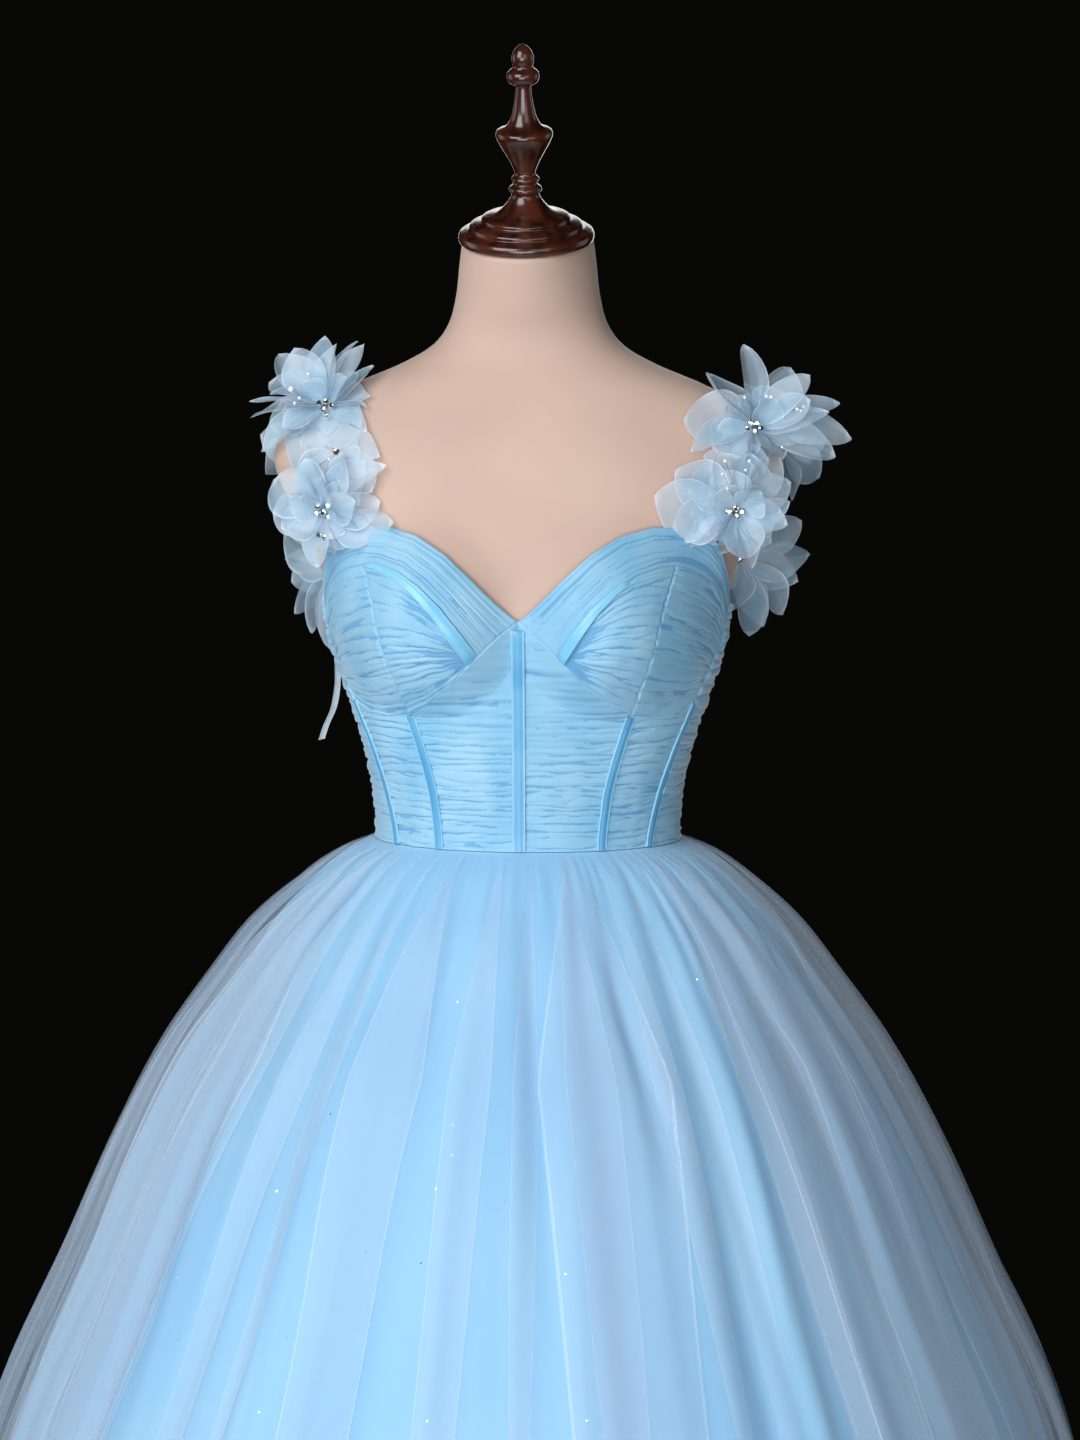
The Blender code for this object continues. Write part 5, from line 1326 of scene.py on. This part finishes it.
PEARLS = {
    "top_front_right": [
        Stone(-0.0260, 0.0140, 0.026, 0.0050), Stone(-0.0190, 0.0070, 0.030, 0.0032),
        Stone(-0.0230, 0.0030, 0.028, 0.0028), Stone(-0.0120, 0.0260, 0.026, 0.0030),
    ],
    "low_front_right": [
        Stone(0.0060, 0.0420, 0.020, 0.0026), Stone(-0.0160, 0.0120, 0.024, 0.0030),
    ],
    "top_front_left": [
        Stone(0.0090, 0.0240, 0.026, 0.0036), Stone(0.0130, 0.0236, 0.026, 0.0036),
        Stone(-0.0080, 0.0230, 0.028, 0.0028), Stone(0.0330, 0.0140, 0.018, 0.0034),
        Stone(0.0360, 0.0126, 0.018, 0.0028), Stone(0.0380, 0.0160, 0.016, 0.0026),
    ],
    "low_front_left": [
        Stone(-0.0080, 0.0400, 0.022, 0.0034), Stone(0.0110, 0.0400, 0.022, 0.0034),
        Stone(-0.0100, 0.0300, 0.026, 0.0028), Stone(-0.0060, 0.0190, 0.028, 0.0026),
        Stone(0.0080, 0.0330, 0.024, 0.0028),
    ],
}


def heart_place(flower, stone):
    """Where a stone or pearl sits, in front of the petals about it."""
    seat, _ = flower_middles[flower]
    place = seat + np.array([stone.right, -stone.forward, stone.up])
    return clear_of_body(place, stone.forward > 0, abs(stone.forward))


def each_stone(flowers):
    """Every stone with its flower's name, flower by flower."""
    return [(flower, stone) for flower, stones in flowers.items() for stone in stones]


stone_glass = surface_finish("cut_glass_on_foil", "#c9d6dc", "#eef4f7", (900, 900, 900),
                             (3000, 3000, 3000), 0.00001, Roughness=0.06, Metallic=0.95)
pearl_coat = surface_finish("pearl_lacquer", "#d4e2ea", "#eef3f4", (300, 300, 300),
                            (2500, 2500, 2500), 0.00001, Roughness=0.22, Coat_Weight=0.7,
                            Coat_Roughness=0.10, Sheen_Weight=0.3)
silver_wire = surface_finish("silvered_wire", "#b9c0c6", "#d4d9dd", (700, 700, 700),
                             (2500, 2500, 2500), 0.00002, Roughness=0.25, Metallic=0.9)

points, faces = [], []
STONE_RINGS = (Turning(-0.28, 0.40), Turning(0.05, 1.0), Turning(0.16, 1.0), Turning(0.42, 0.58))
STONE_SIDES = 8
CLAW_CUP_WIDER = 1.4
for number, (flower, stone) in enumerate(each_stone(RHINESTONES)):
    middle = heart_place(flower, stone)
    size = CLAW_CUP_WIDER * stone.size
    ahead = -1.0 if stone.forward > 0 else 1.0
    facing = Vector((0.25 * sin(number * 2.4), ahead, 0.25 * cos(number * 1.7)))
    turn = facing.to_track_quat("Z", "Y").to_matrix()
    net, cells = turned_net(STONE_RINGS, STONE_SIDES)
    first = len(points)
    for point in net:
        points.append(np.array(turn @ Vector(point * size / 2)) + middle)
    faces.extend([[corner + first for corner in cell] for cell in cells])
make_piece("rhinestones", points, faces, [stone_glass], smooth=False)

points, faces = [], []
wire_points, wire_faces = [], []
PEARL_ROWS = 12
PEARL_SIDES = 16
STEM_STEPS = 9
STEM_BOW = 0.006
STEM_FOOT = 0.003
STEM_CORNERS = ((0.00022, 0, 0), (-0.00011, 0, 0.00019), (-0.00011, 0, -0.00019))
pearl_turns = [pi * (row + 0.5) / PEARL_ROWS for row in range(PEARL_ROWS)]
ball = [Turning(-cos(turn), sin(turn)) for turn in pearl_turns]
for flower, pearl in each_stone(PEARLS):
    middle = heart_place(flower, pearl)
    net, cells = turned_net(ball, PEARL_SIDES)
    first = len(points)
    points.extend(net * pearl.size / 2 + middle)
    faces.extend([[corner + first for corner in cell] for cell in cells])
    seat, outward = flower_middles[flower]
    heart = seat + outward * STEM_FOOT
    bend = (heart + middle) / 2 + outward * STEM_BOW
    first = len(wire_points)
    for step in np.linspace(0, 1, STEM_STEPS):
        at = heart * (1 - step) ** 2 + 2 * bend * step * (1 - step) + middle * step ** 2
        for corner in STEM_CORNERS:
            wire_points.append(at + np.array(corner))
    wire_faces.extend(net_faces(STEM_STEPS, len(STEM_CORNERS), closed=True, first=first))
make_piece("wired_pearls", points, faces, [pearl_coat])
make_piece("pearl_stems", wire_points, wire_faces, [silver_wire])


# Hanger loop
# A narrow greyish satin ribbon for the hanger, sewn inside the top edge at the wearer's
# right and hanging free down the side.
LOOP_LINE = [(-0.1612, 0.048, 1.186), (-0.1608, 0.050, 1.160), (-0.1645, 0.054, 1.138),
             (-0.1715, 0.057, 1.122), (-0.1755, 0.058, 1.110)]
LOOP_WIDTH = np.array([0.0020, 0.0052, 0.0]) / 2
LOOP_WIDTH_LOW = np.array([0.0052, 0.0016, 0.0012]) / 2
LoopKnot = namedtuple("LoopKnot", "place x y z")
LOOP_STATIONS = 60
LOOP_ACROSS = 5
SEWN_RISES = (0.184, 0.172)
SEWN_ANGLE = -106.0
SEWN_OUT = 0.0036

sewn = [off_body(SEWN_ANGLE, rise, SEWN_OUT) for rise in SEWN_RISES]
whole_line = sewn + LOOP_LINE
knots = [LoopKnot(number / (len(whole_line) - 1), *point)
         for number, point in enumerate(whole_line)]
along = np.linspace(0, 1, LOOP_STATIONS)
line = np.stack([read_column(knots, "place", axis, along) for axis in "xyz"], axis=-1)
ribbon = surface_finish("narrow_grey_ribbon", "#b3bfc5", "#c4ced3", (90, 90, 90),
                        (2200, 2200, 2200), 0.00005, Roughness=0.45, Sheen_Weight=0.3)
spread = np.linspace(-1, 1, LOOP_ACROSS)[None, :, None]
turning = np.clip(along / 0.6, 0, 1)[:, None, None]
wide = LOOP_WIDTH * (1 - turning) + LOOP_WIDTH_LOW * turning
points = line[:, None, :] + spread * wide + (1 - spread ** 2) * np.array([-0.0005, 0.0002, 0])
piece = make_piece("ribbon_hanger_loop", points, net_faces(LOOP_STATIONS, LOOP_ACROSS), [ribbon],
                   ["hanger_loop"])


# Glitter on the outer tulle
# Fine silver glitter flakes are glued here and there to the outer tulle. Only the few that
# face the light sparkle.
GLITTER_COUNT = 900
GLITTER_SIZE = 0.00055
GLITTER_STAND = 0.0060
GLITTER_CORNERS = 6
GLITTER_LIFT = 0.0004

draw = np.random.default_rng(77)
angle = draw.uniform(-180, 180, GLITTER_COUNT)
drop = OUTER_LENGTH * draw.uniform(0.02, 1, GLITTER_COUNT) ** 0.75
centres = round_skirt(TULLE_HOOPS, angle, drop, GLITTER_STAND - outer_sink(angle, drop),
                      WAIST_HEIGHT)
glitter = surface_finish("silver_glitter", "#dfe9f2", "#ffffff", (900, 900, 900),
                         (3000, 3000, 3000), 0.00001, Roughness=0.15, Metallic=1.0)
points, faces = [], []
for number, centre in enumerate(centres):
    tilt = draw.normal(0, 0.45, 3)
    normal = np.array([centre[0], centre[1], 0.10]) / np.hypot(centre[0], centre[1]) + tilt
    normal /= np.linalg.norm(normal)
    aside = np.cross(normal, (0, 0, 1.0))
    aside /= np.linalg.norm(aside)
    upward = np.cross(aside, normal)
    size = GLITTER_SIZE * draw.uniform(0.6, 1.3)
    first = len(points)
    for turn in 2 * pi * np.arange(GLITTER_CORNERS) / GLITTER_CORNERS:
        points.append(centre + normal * GLITTER_LIFT
                      + size * (aside * cos(turn) + upward * sin(turn)))
    faces.append(list(range(first, first + GLITTER_CORNERS)))
make_piece("glitter_flakes", points, faces, [glitter], smooth=False)


# Floor, light and camera
# A plain pale round floor under the stand, soft boxes from the front, the sides and behind,
# and a camera level with the form's neck, a little to the form's left and tilted down.
FLOOR_RADIUS = 1.65
FLOOR_SIDES = 128
LAMPS_AIM_HEIGHT = 1.05
DARK_STUDIO = (0.0023, 0.0024, 0.0020, 1.0)
CAMERA_FAR = 3.2
CAMERA_HEIGHT = 1.50
CAMERA_TURN = 4.3
CAMERA_TILT = 6.52
CAMERA_LENS = 99.6
OBJECT_LEFT_OF_MIDDLE = 12 / 1440

plaster = surface_finish("pale_floor", "#dcdcdc", "#e2e2e2", (2, 2, 2), (300, 300, 300), 0.00005,
                         Roughness=0.70)
turns = 2 * pi * np.arange(FLOOR_SIDES) / FLOOR_SIDES
floor_mesh = bpy.data.meshes.new("floor")
floor_mesh.from_pydata([(FLOOR_RADIUS * cos(t), FLOOR_RADIUS * sin(t), 0.0) for t in turns], [],
                       [list(range(FLOOR_SIDES))])
floor_mesh.materials.append(plaster)
floor = bpy.data.objects.new("floor", floor_mesh)
bpy.context.collection.objects.link(floor)
floor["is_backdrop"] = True

world = bpy.data.worlds.new("studio")
bpy.context.scene.world = world
world.use_nodes = True
world.node_tree.nodes["Background"].inputs["Color"].default_value = DARK_STUDIO
world.node_tree.nodes["Background"].inputs["Strength"].default_value = 1.0

SoftBox = namedtuple("SoftBox", "name turn height far wide tall power")
SOFT_BOXES = [
    SoftBox("key", -32, 2.50, 2.6, 1.9, 1.9, 68.0),
    SoftBox("fill", 26, 1.90, 3.1, 1.9, 1.9, 17.0),
    SoftBox("low_front", -4, 0.75, 3.3, 2.2, 1.2, 50.0),
    SoftBox("side_left", 112, 1.7, 2.8, 1.4, 1.8, 5.0),
    SoftBox("side_right", -100, 1.6, 2.8, 1.4, 1.8, 9.0),
    SoftBox("behind", 180, 1.9, 3.0, 1.8, 1.8, 17.0),
]
for box in SOFT_BOXES:
    light = bpy.data.lights.new(box.name, "AREA")
    light.shape = "RECTANGLE"
    light.size, light.size_y = box.wide, box.tall
    light.energy = box.power
    lamp = bpy.data.objects.new(box.name, light)
    lamp.location = (box.far * sin(radians(box.turn)), -box.far * cos(radians(box.turn)), box.height)
    aim = Vector((0, 0, LAMPS_AIM_HEIGHT)) - lamp.location
    lamp.rotation_euler = aim.to_track_quat("-Z", "Y").to_euler()
    bpy.context.collection.objects.link(lamp)

camera_data = bpy.data.cameras.new("camera")
camera_data.sensor_width = 36.0
camera_data.lens = CAMERA_LENS
camera_data.shift_x = OBJECT_LEFT_OF_MIDDLE
camera = bpy.data.objects.new("camera", camera_data)
turn, tilt = radians(CAMERA_TURN), radians(CAMERA_TILT)
camera.location = (CAMERA_FAR * sin(turn), -CAMERA_FAR * cos(turn), CAMERA_HEIGHT)
looking = Vector((-sin(turn) * cos(tilt), cos(turn) * cos(tilt), -sin(tilt)))
camera.rotation_euler = looking.to_track_quat("-Z", "Y").to_euler()
bpy.context.collection.objects.link(camera)
bpy.context.scene.camera = camera
bpy.context.scene.view_settings.view_transform = "Standard"

low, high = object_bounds()
